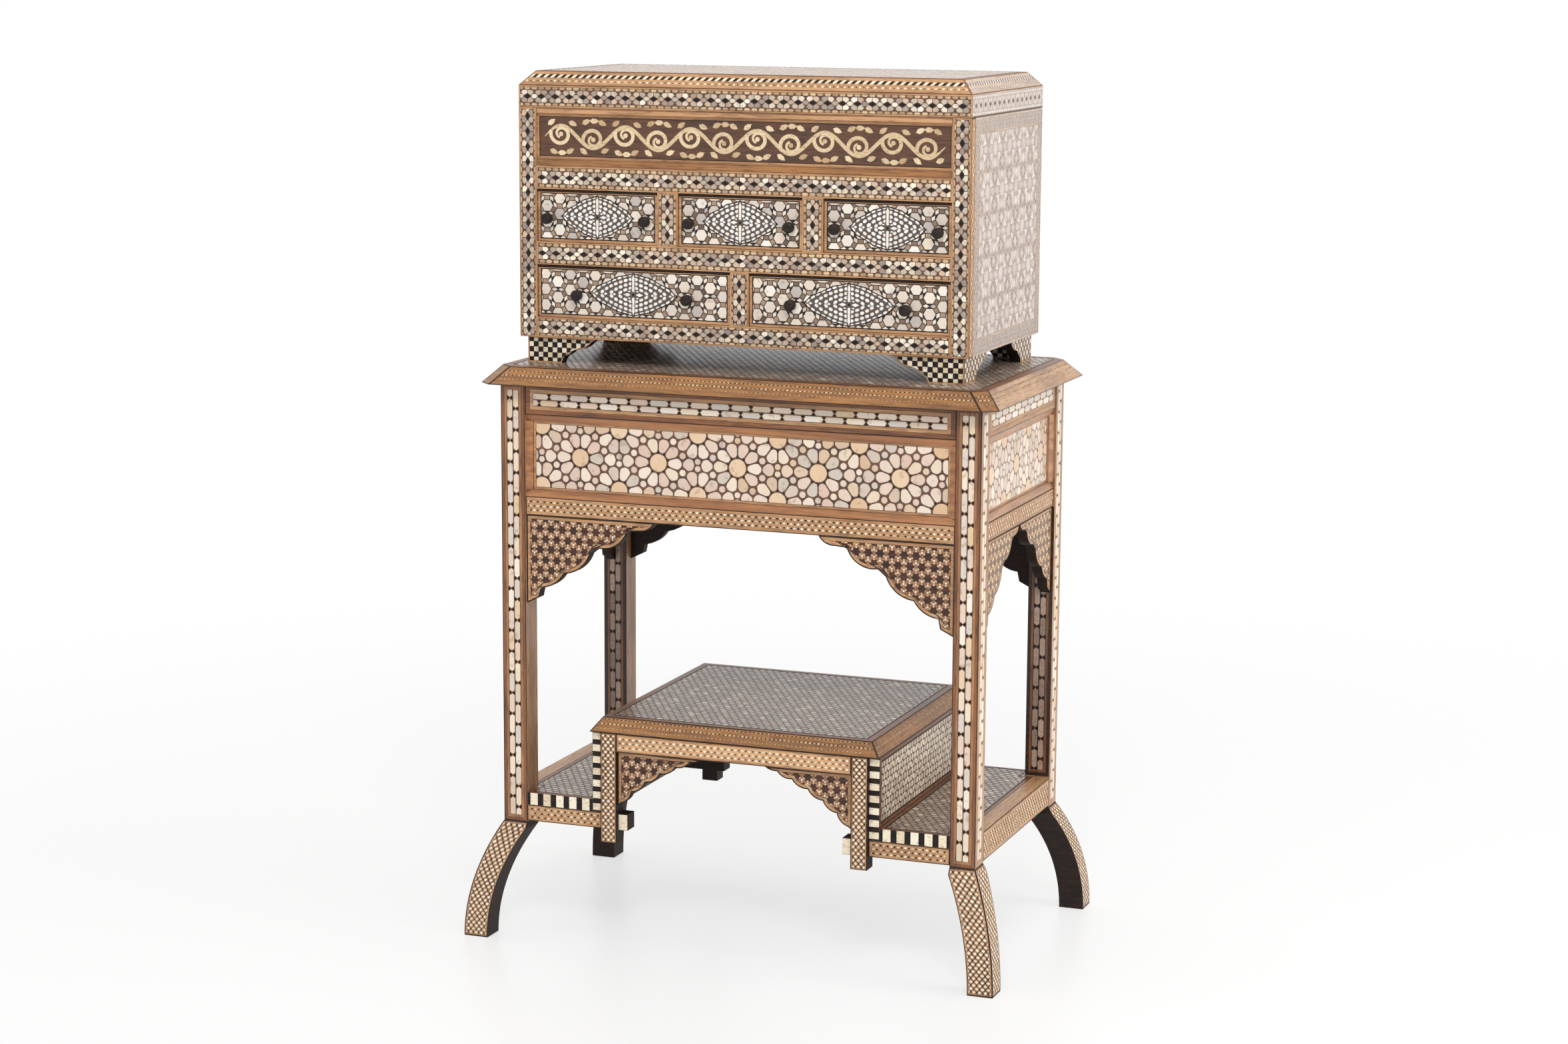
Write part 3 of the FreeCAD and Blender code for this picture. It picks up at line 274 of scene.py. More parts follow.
def inlay_tree():
    """Rows of a tile pattern laid over a bed, cut to its outline, tinted one by one and given their thickness."""
    tree = bpy.data.node_groups.new("inlay", "GeometryNodeTree")
    sockets = {"Tiles": "Geometry", "Bed": "Object", "Pitch": "Float", "Row pitch": "Float", "Stagger": "Float"}
    sockets |= {"Rise": "Float", "Least area": "Float", "Seed": "Int"} | dict.fromkeys(KINDS, "Material")
    for name, kind in sockets.items():
        tree.interface.new_socket(name, in_out="INPUT", socket_type="NodeSocket" + kind)
    tree.interface.new_socket("Inlay", in_out="OUTPUT", socket_type="NodeSocketGeometry")
    shape = Nodes(tree)

    def given(name):
        return shape.node("NodeGroupInput", output=name)

    bed = shape.node("GeometryNodeObjectInfo", {"transform_space": "ORIGINAL"}, {"Object": given("Bed")}, "Geometry")
    low = shape.node("GeometryNodeBoundBox", None, [bed], "Min")
    lowest = shape.node("ShaderNodeSeparateXYZ", None, [low])
    highest = shape.node("ShaderNodeSeparateXYZ", None, [low.other("Max")])
    counts, spans = [], []
    for axis, pitch in (("X", given("Pitch")), ("Y", given("Row pitch"))):
        reach = pitch.maths("MAXIMUM", 0.0 - lowest.other(axis), highest.other(axis))
        steps = pitch.maths("CEIL", reach / pitch + 1.0) * 2.0
        counts.append(steps + 1.0)
        spans.append(steps * pitch)
    grid = shape.node("GeometryNodeMeshGrid", None, [*spans, *counts])
    spot = shape.node("ShaderNodeSeparateXYZ", None, [shape.node("GeometryNodeInputPosition")])
    row = spot.maths("ROUND", spot.other("Y") / given("Row pitch"))
    aside = row % 2.0 * given("Stagger") * given("Pitch")
    move = shape.node("ShaderNodeCombineXYZ", None, [aside])
    points = shape.node("GeometryNodeSetPosition", None, {"Geometry": grid, "Offset": move})
    near = shape.node("GeometryNodeProximity", {"target_element": "FACES"}, {0: bed}, "Distance")
    far = near > given("Pitch") + given("Row pitch")
    points = shape.node("GeometryNodeDeleteGeometry", {"domain": "POINT"}, {"Geometry": points, "Selection": far})
    tiles = shape.node("GeometryNodeInstanceOnPoints", None, {"Points": points, "Instance": given("Tiles")})
    tiles = shape.node("GeometryNodeRealizeInstances", None, {"Geometry": tiles})
    tiles = shape.node("GeometryNodeSetPosition", None, {"Geometry": tiles, "Position": near.other("Position")})
    small = shape.node("GeometryNodeInputMeshFaceArea") < given("Least area")
    tiles = shape.node("GeometryNodeDeleteGeometry", {"domain": "FACE"}, {"Geometry": tiles, "Selection": small})
    island = shape.node("GeometryNodeInputMeshIsland")
    tint = shape.node("FunctionNodeRandomValue", {"data_type": "FLOAT"}, {7: island, 8: given("Seed")}, 1)
    named = {"Geometry": tiles, "Name": "shade", "Value": tint}
    tiles = shape.node("GeometryNodeStoreNamedAttribute", {"data_type": "FLOAT", "domain": "FACE"}, named)
    up = shape.node("ShaderNodeCombineXYZ", None, [0.0, 0.0, 1.0])
    grown = {"Mesh": tiles, "Offset": up, "Offset Scale": given("Rise"), "Individual": True}
    thick = shape.node("GeometryNodeExtrudeMesh", {"mode": "FACES"}, grown)
    eased = {"Geometry": thick, "Selection": thick.other("Top"), "Scale": 0.96}
    thick = shape.node("GeometryNodeScaleElements", {"domain": "FACE"}, eased)
    under = shape.node("GeometryNodeFlipFaces", None, {"Mesh": tiles})
    whole = shape.node("GeometryNodeJoinGeometry", None, [thick])
    shape.tree.links.new(under.socket, whole.socket.node.inputs[0])
    whole = shape.node("GeometryNodeMergeByDistance", None, {"Geometry": whole, "Distance": 0.000002})
    kind = shape.node("GeometryNodeInputNamedAttribute", {"data_type": "INT"}, {"Name": "kind"})
    whole = shape.node("GeometryNodeRealizeInstances", None, {"Geometry": whole})
    for mark, name in enumerate(KINDS):
        chosen = abs(kind - float(mark)) < 0.5
        coated = {"Geometry": whole, "Selection": chosen, "Material": given(name)}
        whole = shape.node("GeometryNodeSetMaterial", None, coated)
    shape.node("NodeGroupOutput", None, [whole])
    return tree


inlay = inlay_tree()


def lay(pattern, beds, pitch, rows, stagger, seed, finishes, rise=0.35, least=1.2, start=(0, 0)):
    """A plain mesh of tiles on flat beds; pattern holds (kind, corners), and all sizes are in millimetres."""
    tiles = flat_mesh([shifted(corners, start) for _, corners in pattern], [kind for kind, _ in pattern])
    carrier = bpy.data.objects.new("tiles", tiles)
    bed = bpy.data.objects.new("bed", flat_mesh(beds))
    for made in (carrier, bed):
        bpy.context.scene.collection.objects.link(made)
    modifier = carrier.modifiers.new("inlay", "NODES")
    modifier.node_group = inlay
    values = {"Bed": bed, "Pitch": pitch * MM, "Row pitch": rows * MM, "Stagger": stagger, "Rise": rise * MM}
    values |= {"Least area": least * MM * MM, "Seed": seed} | dict(zip(KINDS, finishes))
    for item in inlay.interface.items_tree:
        if item.name in values:
            modifier[item.identifier] = values[item.name]
    bpy.context.view_layer.update()
    graph = bpy.context.evaluated_depsgraph_get()
    mesh = bpy.data.meshes.new_from_object(carrier.evaluated_get(graph), preserve_all_data_layers=True, depsgraph=graph)
    for made in (carrier, bed):
        bpy.data.objects.remove(made)
    return mesh


def oblong(width, height, at=(0, 0), cuts=1):
    """The corners of an upright oblong, from its middle, its upright sides in as many lengths as asked."""
    x, y = width / 2, height / 2
    rising = [(x, -y + height * i / cuts) for i in range(cuts + 1)]
    return shifted(rising + [(-a, -b) for a, b in rising], at)


def neighbours(outline):
    """Each corner of an outline, between the one before it and the one after it."""
    spots = [Vector(corner) for corner in outline]
    return [(spots[i - 1], here, spots[(i + 1) % len(spots)]) for i, here in enumerate(spots)]


def gap(spot, outline):
    """How far a spot is from an outline."""
    spot, nearest = Vector(spot), 1000.0
    for _, start, end in neighbours(outline):
        along = end - start
        share = min(max((spot - start).dot(along) / max(along.length_squared, 0.0001), 0), 1)
        nearest = min(nearest, (spot - start - along * share).length)
    return nearest


def inward(outline, distance):
    """An outline moved inwards by a distance; corners that would cross take their neighbour's place."""
    moved = []
    for before, here, after in neighbours(outline):
        one, two = (here - before).normalized(), (after - here).normalized()
        side = Vector((-one.y, one.x)) + Vector((-two.y, two.x))
        moved.append(tuple(here + side * distance / max(1 + one.dot(two), 0.4)))
    sound = [i for i, spot in enumerate(moved) if gap(spot, outline) > abs(distance) * 0.97 - 0.01]
    count = len(moved)
    nearest = [min(sound, key=lambda n: min(abs(n - i), count - abs(n - i))) for i in range(count)]
    return [moved[i] for i in nearest]


def cleared(outline):
    """The outline without corners that fall on each other."""
    kept = []
    for corner in outline:
        if all((Vector(corner) - Vector(other)).length > 0.02 for other in kept[-1:] + kept[:1]):
            kept.append(corner)
    return kept


def strip(outline, start, end, finish, rise=0.3):
    """A closed strip of wood let in along an outline, between two distances from it."""
    outer, inner = inward(outline, start), inward(outline, end)
    corners, faces = [], []
    for (ax, ay), (bx, by) in zip(outer, inner):
        corners += [(ax, ay, 0), (ax, ay, rise), (bx, by, rise), (bx, by, 0)]
    for i in range(len(outer)):
        here, there = 4 * i, 4 * ((i + 1) % len(outer))
        faces += [(here + a, there + a, there + b, here + b) for a, b in ((0, 1), (1, 2), (2, 3), (3, 0))]
    mesh = bpy.data.meshes.new("strip")
    mesh.from_pydata([(x * MM, y * MM, z * MM) for x, y, z in corners], [], faces)
    work = bmesh.new()
    work.from_mesh(mesh)
    bmesh.ops.remove_doubles(work, verts=work.verts, dist=0.000005)
    work.to_mesh(mesh)
    work.free()
    mesh.materials.append(finish)
    return mesh


def plate(outline, rise, finish):
    """A thin flat plate with an outline."""
    count = len(outline)
    corners = [(x * MM, y * MM, z * MM) for z in (0, rise) for x, y in outline]
    faces = [list(range(count))[::-1], list(range(count, 2 * count))]
    faces += [(i, (i + 1) % count, count + (i + 1) % count, count + i) for i in range(count)]
    mesh = bpy.data.meshes.new("plate")
    mesh.from_pydata(corners, [], faces)
    mesh.materials.append(finish)
    return mesh


def facing(middle, outward):
    """Where a flat design goes: its middle in millimetres, and the way it faces."""
    out = Vector(outward).normalized()
    up = Vector((0, 1, 0)) if abs(out.z) > 0.999 else Vector((0, 0, 1))
    right = up.cross(out).normalized()
    place = Matrix((right, out.cross(right), out)).transposed().to_4x4()
    place.translation = Vector(middle) * MM
    return place


def placed(meshes, place):
    """The meshes moved from the flat to their face."""
    for mesh in meshes:
        mesh.transform(place)
    return meshes


def fitted(name, body, meshes):
    """One piece made of several meshes, riding on a body."""
    corners, faces, finishes, shades, materials = [], [], [], [], []
    for mesh in meshes:
        first = len(corners)
        corners += [v.co[:] for v in mesh.vertices]
        numbers = []
        for material in mesh.materials:
            if material not in materials:
                materials.append(material)
            numbers.append(materials.index(material))
        tints = mesh.attributes.get("shade")
        for polygon in mesh.polygons:
            faces.append([first + i for i in polygon.vertices])
            finishes.append(numbers[polygon.material_index])
            shades.append(tints.data[polygon.index].value if tints else 0.5)
        bpy.data.meshes.remove(mesh)
    whole = bpy.data.meshes.new(name)
    whole.from_pydata(corners, [], faces)
    for material in materials:
        whole.materials.append(material)
    whole.polygons.foreach_set("material_index", finishes)
    whole.attributes.new("shade", "FLOAT", "FACE").data.foreach_set("value", shades)
    piece = bpy.data.objects.new(name, whole)
    bpy.context.scene.collection.objects.link(piece)
    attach(piece, body)


def coat(node, finish):
    """Gives a CAD node its finish."""
    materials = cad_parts[node].data.materials
    if len(materials):
        materials[0] = finish
    else:
        materials.append(finish)


STAND = "stand_and_chest"
SEED_TILES = [(2, tile(4, 2.2, long=1.3)), (1, tile(4, 1.5, (4.1, 0)))]
CALM_TILES = [(2, tile(4, 2.1, long=1.3)), (1, tile(4, 1.5, (5.1, 0), long=1.2))]
foot_ground = timber("foot_ground", (112, 76, 50), (168, 124, 88), 2, 0.5)


def studded(width, height, seed, inner=honey_z, cuts=1, calm=False, wood=None, finishes=bone_set):
    """A band of small bone diamonds and black studs, with a black line and a strip round it; cuts let it bend."""
    outline = oblong(width, height, (0, 0), cuts)
    rim = 3.0 if calm else 2.2
    wood = wood or (tan_ground if calm else foot_ground)
    rows = [(height / cuts * (i + 0.5) - height / 2) for i in range(cuts)]
    parts = [plate(oblong(width - 0.6, height / cuts * 0.999, (0, y)), 0.1, wood) for y in rows]
    parts += [strip(outline, 0.2, 1.1, black), strip(outline, 1.3, rim, inner)]
    bed = oblong(width - 2 * rim - 0.8, height - 2 * rim - 0.8)
    tiles, pitch, gauge = (CALM_TILES, 10.2, 6.0) if calm else (SEED_TILES, 8.2, 4.7)
    parts.append(lay(tiles, [bed], pitch, gauge, 0.5, seed, finishes))
    return parts


FACE_X, FACE_Y, POST = 350, 195, 36  # from the stand's middle to the posts' outer faces, and the posts' width
POST_X, POST_Y = FACE_X - POST / 2, FACE_Y - POST / 2
FOOT_HIGH, SWEEP_X, SWEEP_Y = 162, 42, 47
CORNERS = [("front_left", -1, -1), ("back_left", -1, 1), ("front_right", 1, -1), ("back_right", 1, 1)]


def swept_out(place, z, sweep, face):
    """Where a point of a straight post goes when its faces follow the arcs of the foot, in millimetres."""
    radius = (sweep**2 + FOOT_HIGH**2) / (2 * sweep)
    middle = face + sweep - radius
    outer = middle + math.sqrt(radius**2 - z * z)
    inner = max(middle + math.sqrt((radius - POST) ** 2 - z * z), face - POST)
    share = min((place - face + POST) / POST, 1.0)
    return inner + (outer - inner) * share + max(place - face, 0.0)


for corner, sx, sy in CORNERS:
    coat(f"foot_{corner}", stain_and_shade)
    parts = []
    for middle, out in (((sx * POST_X, sy * FACE_Y, 81), (0, sy, 0)), ((sx * FACE_X, sy * POST_Y, 81), (sx, 0, 0))):
        parts += placed(studded(POST, 160, 11, cuts=20, finishes=ivory_set), facing(middle, out))
    for mesh in parts:
        for vertex in mesh.vertices:
            x, y, z = [v / MM for v in vertex.co]
            at = swept_out(abs(x), z, SWEEP_X, FACE_X), swept_out(abs(y), z, SWEEP_Y, FACE_Y)
            vertex.co = (math.copysign(at[0], x) * MM, math.copysign(at[1], y) * MM, z * MM)
    fitted(f"foot_{corner}_inlay", STAND, parts)


# Posts. Four square walnut posts, each with mortises for its rails. Long pearl tiles lie in two rows that break joint,
# with a stud at each end of a tile, between strips of brown wood, which are paler at the stand's ends; there the ground
# and the studs are also painted pale, for the glare of the light from the right. Of a post's two inner faces, the one
# that looks to the front or back has the same pattern in bone and ground painted darker for the shade inside the stand,
# and the other is plain.
BEAD_TILES = [
    (0, [(-14.0, 0), (-11.2, -3.9), (11.2, -3.9), (14.0, 0), (11.2, 3.9), (-11.2, 3.9)]),
    (1, tile(6, 2.1, (15, -2.9))),
    (1, tile(6, 1.5, (15, 3.0))),
    (2, tile(4, 1.3, (0, 6.2))),
]
bead_ground = black_finish("bead_ground", (70, 46, 32), (128, 90, 62))
# Pale, flat copies of the ground and the black studs for the faces at the stand's ends: painted glare of the light from
# the right.
end_glare_ground = black_finish("end_glare_ground", (150, 122, 100), (192, 162, 136))
end_glare_dark = black_finish("end_glare_dark", (92, 68, 54), (134, 106, 86))
post_walnut = timber("post_walnut", (112, 78, 54), (182, 140, 104), 2)
# Darker copies of the bone and the ground for the posts' inner faces: painted shade inside the stand.
painted_shade_bone = bone_finish("painted_shade_bone", (126, 104, 90), (180, 154, 136))
painted_shade_ground = black_finish("painted_shade_ground", (32, 21, 16), (60, 43, 34))
amber_z = timber("amber_z", (118, 76, 42), (180, 128, 82), 2)
end_glare_set, painted_shade_set = (pearl, end_glare_dark, bone), (painted_shade_bone, stain_and_shade, painted_shade_bone)


def beaded(length, width, seed, edge, inner, ground=bead_ground, finishes=bone_set):
    """Two rows of long tiles along a band, with a line and two strips of wood at its edges."""
    outline = oblong(length, width)
    rim = (width - 18.6) / 2
    parts = [strip(outline, 0.2, 1.0, finishes[1]), strip(outline, 1.2, rim * 0.6, edge)]
    parts += [strip(outline, rim * 0.6 + 0.3, rim, inner), plate(oblong(length - 2 * rim, 18.6), 0.1, ground)]
    bed = oblong(length - 2 * rim - 0.6, 17.8)
    for sign in (-1, 1):
        tiles = [(kind, [(x, -y * sign) for x, y in corners][::-sign]) for kind, corners in BEAD_TILES]
        start = (7.5 * sign, 4.6 * sign)
        parts.append(lay(tiles, [bed], 30.0, 200.0, 0.0, seed + sign, finishes, start=start))
    return parts


upright = Matrix.Rotation(math.radians(90), 4, "Z")
for corner, sx, sy in CORNERS:
    coat(f"post_{corner}", post_walnut)
    outer = placed(beaded(626, POST, 3, walnut_z, amber_z), upright)
    end = placed(beaded(626, POST, 4, honey_z, honey_z, end_glare_ground, end_glare_set), upright)
    inner = placed(beaded(396, POST, 5, painted_shade_ground, walnut_z, painted_shade_ground, painted_shade_set), upright)
    parts = placed(outer, facing((sx * POST_X, sy * FACE_Y, 475), (0, sy, 0)))
    parts += placed(end, facing((sx * FACE_X, sy * POST_Y, 475), (sx, 0, 0)))
    parts += placed(inner, facing((sx * POST_X, sy * (FACE_Y - POST), 405), (0, -sy, 0)))
    fitted(f"post_{corner}_inlay", STAND, parts)


# Rails. On each face of the stand a deep rail under the top and a slim one below the panel, tenoned into the posts.
# The deep rail has the posts' two rows of long pearl tiles, the slim one rows of small bone diamonds and black studs.
FACES = {"front": (0, -1, 0), "back": (0, 1, 0), "left": (-1, 0, 0), "right": (1, 0, 0)}
for name, out in FACES.items():
    coat(f"{name}_rails", stain_and_shade)
    if out[1]:
        face, deep, slim = 193, beaded(628, 43, 7, walnut_x, honey_x), studded(628, 26, 8, honey_x, calm=True)
    else:
        # The end rails take the pale ground and studs of painted glare.
        face, deep = 348, beaded(318, 43, 7, honey_y, honey_y, end_glare_ground, end_glare_set)
        slim = studded(318, 26, 8, honey_y, calm=True, finishes=end_glare_set)
    parts = []
    for middle, design in ((766.5, deep), (617, slim)):
        parts += placed(design, facing((out[0] * face, out[1] * face, middle), out))
    fitted(f"{name}_rails_inlay", STAND, parts)


# Star panels. Thin walnut boards in the frame of rails and posts, held by brown mouldings that stand in front of them.
# Ten-petalled roses of pearl lie on a rhombic net of 117 mm, each round a tan button, with a knot of small pieces
# between neighbours. Brown wood shows as the line round each piece.
def moulded(name, axis, face, along, dark, light, frame_dark, frame_light):
    """A board with red-brown mouldings standing on it, told apart by how far they stand out."""
    wood = Finish(name)
    stretch = [1.0 if number == along else 14.0 for number in range(3)]
    streaks = wood.noise(9.0, 5.0, stretch)
    fine = wood.noise(50.0, 3.0, stretch)
    board = wood.ramp(streaks, [(0.35, dark), (0.7, light)])
    rim = wood.ramp(streaks * 0.7 + fine * 0.3, [(0.35, frame_dark), (0.66, frame_light)])
    stands = abs(wood.axes()[axis]) > face
    return wood.done(
        Base_Color=wood.mix(stands, board, rim),
        Roughness=0.38 + streaks * 0.2,
        Normal=wood.bump(fine, 0.0003, 0.4),
        Coat_Weight=0.35,
        Coat_Roughness=0.2,
    )


rosy = shell_finish(
    "rosy_shell",
    [
        (0.0, (236, 218, 200)),
        (0.25, (222, 200, 182)),
        (0.45, (212, 182, 164)),
        (0.6, (196, 186, 174)),
        (0.8, (204, 172, 140)),
        (1.0, (236, 220, 198)),
    ],
)
tawny = shell_finish("tawny_shell", [(0.0, (214, 176, 138)), (1.0, (226, 196, 162))], 0.3)
ROSE_PITCH = 117.0
ROSE_ROWS = ROSE_PITCH * 0.3633


def fitted_pieces(spots, steps, line):
    """Pieces that share the ground between spots, each up to its neighbours less a line, with their corners eased.

    Each spot holds its place, its weight, the most it may reach, and its kind; steps are the moves that repeat them."""
    pieces = []
    around = [(x + dx, y + dy, weight) for x, y, weight, _, _ in spots for dx, dy in steps]
    for x, y, weight, reach, kind in spots:
        corners = tile(20, reach)
        for ox, oy, other in around:
            away = Vector((ox - x, oy - y))
            if 0.1 < away.length < 60:
                limit = (away.length_squared + weight**2 - other**2) / (2 * away.length) - line / 2
                way = away.normalized()
                cut = []
                for i, corner in enumerate(corners):
                    here, before = Vector(corner), Vector(corners[i - 1])
                    a, b = before.dot(way) - limit, here.dot(way) - limit
                    if (a > 0) != (b > 0):
                        cut.append(tuple(before + (here - before) * (a / (a - b))))
                    if b <= 0:
                        cut.append(corner)
                corners = cut
        corners = cleared([c for i, c in enumerate(corners) if (Vector(c) - Vector(corners[i - 1])).length > 0.8])
        eased = []
        for _, here, after in neighbours(corners):
            eased += [tuple(here.lerp(after, share)) for share in (0.2, 0.8)]
        pieces.append((kind, shifted(eased, (x, y))))
    return pieces


def rose_tiles():
    """One rose with its share of the pieces between it and its neighbours."""
    spots = [(0, 0, 11.5, 12.4, 2)]
    spots += [(*shifted([(25.2, 0)], turn=36 * i)[0], 8.0, 11.2, 0) for i in range(10)]
    spots += [(x, y * sign, 3.4, 4.6, 0) for x, y in ((36.15, 11.75), (22.35, 30.75)) for sign in (-1, 1)]
    spots += [(45.6, 0, 7.2, 9.4, 0), (71.4, 0, 7.2, 9.4, 0)]
    spots += [(58.5, 5.0, 3.0, 4.2, 0), (58.5, -5.0, 3.0, 4.2, 0)]
    steps = [(58.5 * i, 42.5 * j) for i in range(-3, 4) for j in range(-3, 4) if (i + j) % 2 == 0]
    points = [(1, shifted(tile(3, 2.0), shifted([(14.6, 0)], turn=36 * i + 18)[0], 36 * i + 18)) for i in range(10)]
    return fitted_pieces(spots, steps, 2.0) + points


for name, out in FACES.items():
    if out[1]:
        board = moulded(f"{name}_board", 1, 0.1856, 0, (66, 40, 26), (112, 74, 50), (126, 76, 42), (186, 126, 76))
        length, face, edge, shells = 610, 185, honey_x, (rosy, black, tawny)
    else:
        # The end boards are painted much paler than the front ones, for the glare of the light from the right.
        board = moulded(f"{name}_board", 0, 0.3406, 1, (144, 118, 100), (182, 156, 136), (140, 98, 68), (198, 150, 112))
        length, face, edge, shells = 300, 340, honey_y, (rosy, end_glare_dark, tawny)
    coat(f"{name}_panel", board)
    parts, bed = [strip(oblong(length, 97), 0.2, 3.4, edge)], oblong(length - 8, 89)
    parts.append(lay(rose_tiles(), [bed], ROSE_PITCH, ROSE_ROWS, 0.5, 21, shells, least=1.6))
    placed(parts, facing((out[0] * face, out[1] * face, 687.5), out))
    fitted(f"{name}_panel_inlay", STAND, parts)


# Spandrels. Pairs of thin boards under the slim rails, their lower edges sawn into a run of foils.
# Dark six-pointed stars stand in a brown ground on a net of 17 mm with small pieces of bone between them,
# and a tan border follows the sawn edge.
russet = black_finish("russet_stars", (36, 16, 10), (84, 46, 28))
star_ground = timber("star_ground", (112, 74, 50), (168, 122, 88), 0, 0.5)
STAR_PITCH, STAR_ROWS = 17.0, 14.7
STAR_TILES = [(1, star(6, 7.4, 4.5))]
for way in range(6):
    STAR_TILES.append((2, shifted([(5.0, 0), (6.8, -1.3), (7.8, 0), (6.8, 1.3)], turn=60 * way + 30)))
for way in (30, 90):
    STAR_TILES.append((0, tile(6, 1.6, shifted([(9.8, 0)], turn=way)[0])))


def flat_faces(node, outward, steep=0.9999):
    """The flat faces of a node that look one way: the place of each, and its outline in millimetres."""
    work = bmesh.new()
    work.from_mesh(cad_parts[node].data)
    bmesh.ops.remove_doubles(work, verts=work.verts, dist=0.000002)
    work.normal_update()
    way = Vector(outward).normalized()
    left = [face for face in work.faces if face.normal.dot(way) > steep]
    found = []
    while left:
        patch = [left.pop(0)]
        for face in patch:
            for edge in face.edges:
                for other in edge.link_faces:
                    if other in left and other.normal.dot(face.normal) > 0.9999:
                        left.remove(other)
                        patch.append(other)
        follows = {}
        for face in patch:
            for loop in face.loops:
                if sum(other in patch for other in loop.edge.link_faces) == 1:
                    follows[loop.vert.index] = loop.link_loop_next.vert.index
        work.verts.ensure_lookup_table()
        rings = []
        while follows:
            ring = [follows.pop(next(iter(follows)))]
            while ring[-1] in follows:
                ring.append(follows.pop(ring[-1]))
            rings.append([work.verts[i].co / MM for i in ring])
        ring = max(rings, key=lambda r: max((a - r[0]).length for a in r))
        normal = patch[0].normal
        spread = Vector([(min(v[i] for v in ring) + max(v[i] for v in ring)) / 2 for i in range(3)])
        place = facing(spread - (spread - sum(ring, Vector()) / len(ring)).dot(normal) * normal, normal)
        back = place.inverted()
        outline = [tuple((back @ (corner * MM)).xy / MM) for corner in ring]
        straight = []
        for corner, (before, here, after) in zip(outline, neighbours(outline)):
            if (here - before).length > 0.01 and abs((here - before).angle(after - here, 0)) > 0.004:
                straight.append(corner)
        found.append((place, straight))
    work.free()
    return sorted(found, key=lambda f: tuple(round(v, 5) for v in f[0].translation))


def spandrel_design(outline, seed, inner=honey_x, ground=star_ground, stars=russet):
    """Stars on the face of a spandrel, with a border that follows its outline."""
    bed = cleared(inward(outline, 6.0))
    parts = [strip(outline, 0.3, 1.6, black), strip(outline, 1.8, 5.6, inner), plate(bed, 0.1, ground)]
    parts.append(lay(STAR_TILES, [bed], STAR_PITCH, STAR_ROWS, 0.5, seed, (ivory, stars, bone)))
    return parts


for name, out in FACES.items():
    coat(f"{name}_spandrels", stain_and_shade)
    # The end spandrels take the pale studs of painted glare.
    woods = () if out[1] else (honey_y, tan_ground, end_glare_dark)
    parts = []
    for place, outline in flat_faces(f"{name}_spandrels", out):
        parts += placed(spandrel_design(outline, 31, *woods), place)
    fitted(f"{name}_spandrels_inlay", STAND, parts)


# Stand top. A walnut board with clipped corners and a broad bevel, screwed down on the posts from below.
# Its top is covered with a net of stars in smoky shell, worn grey, in black lines, and plain strips near the edge;
# the bevel is brown, painted paler at the ends for the glare of the light from the right, with rows of small dashes and
# diamonds in dusky bone and black.
smoky = shell_finish(
    "smoky_shell",
    [
        (0.0, (140, 120, 108)),
        (0.3, (112, 96, 86)),
        (0.55, (160, 142, 126)),
        (0.8, (112, 92, 80)),
        (1.0, (206, 190, 172)),
    ],
    0.22,
)
smoky_tan = bone_finish("smoky_tan", (112, 84, 62), (158, 126, 98))
net_ground = black_finish("net_ground", (30, 22, 18), (66, 50, 40))
NET_PITCH, NET_ROWS = 22.0, 19.05
NET_TILES = [(0, star(6, 5.8, 3.7, turn=30))]
for way in range(3):
    NET_TILES.append((0, tile(6, 4.7, shifted([(11, 0)], turn=60 * way)[0])))
for way in (30, 90):
    NET_TILES.append((2, tile(6, 2.3, shifted([(12.7, 0)], turn=way)[0], 30)))


def netted(outline, seed, edge, finishes=(smoky, black, smoky_tan)):
    """A net of stars over a board's top, inside a plain strip and a black line."""
    parts = [strip(outline, 0.4, edge - 2.2, walnut_x, 0.15), strip(outline, edge - 2.0, edge - 0.8, black, 0.3)]
    parts.append(lay(NET_TILES, [cleared(inward(outline, edge))], NET_PITCH, NET_ROWS, 0.5, seed, finishes, 0.25))
    return parts


DASH_PITCH = 6.2
DASH_TILES = [
    (2, tile(4, 1.35, (0, 7.2))),
    (1, oblong(2.2, 1.2, (3.1, 7.2))),
    (2, oblong(3.4, 2.2, (0, 0))),
    (1, oblong(1.1, 2.2, (3.1, 0))),
    (2, tile(4, 1.1, (0, -7.2))),
]
bevel_wood = timber("bevel_wood", (106, 67, 31), (168, 115, 62), 0)
dusky_bone = bone_finish("dusky_bone", (160, 126, 90), (220, 188, 148))
# The bevel wood painted paler for the ends: painted glare of the light from the right.
end_glare_wood = timber("end_glare_wood", (140, 104, 72), (196, 154, 116), 1)


def bevel_design(outline, seed, wood=bevel_wood, line=black):
    """Brown wood on a sloping edge, a dark line at its border and rows of bone dashes along it."""
    parts = [plate(inward(outline, 0.2), 0.12, wood), strip(outline, 0.3, 1.3, line, 0.3)]
    shells = (pearl, black, dusky_bone)
    return parts + [lay(DASH_TILES, [inward(outline, 3.2)], DASH_PITCH, 60.0, 0.0, seed, shells, 0.3, 0.6, (0, 1.5))]


def bevels(node):
    """The sloping faces round a board's edge."""
    found = []
    for step in range(8):
        angle = math.radians(45 * step)
        for lean in range(2, 14):
            tilt = math.radians(5 * lean)
            way = (math.cos(angle) * math.cos(tilt), math.sin(angle) * math.cos(tilt), math.sin(tilt))
            for place, outline in flat_faces(node, way, 0.999):
                if all((place.translation - other.translation).length > 0.001 for other, _ in found):
                    found.append((place, outline))
    return found


coat("stand_top", net_ground)
parts = []
for place, outline in bevels("stand_top"):
    # The bevel at the ends is painted paler, with a pale line, for the glare of the light from the right.
    at_end = abs(place.col[2].x) > 2 * abs(place.col[2].y)
    woods = (end_glare_wood, end_glare_dark) if at_end else ()
    parts += placed(bevel_design(outline, 41, *woods), place)
for place, outline in flat_faces("stand_top", (0, 0, 1)):
    parts += placed(netted(outline, 42, 14.0), place)
fitted("stand_top_inlay", STAND, parts)


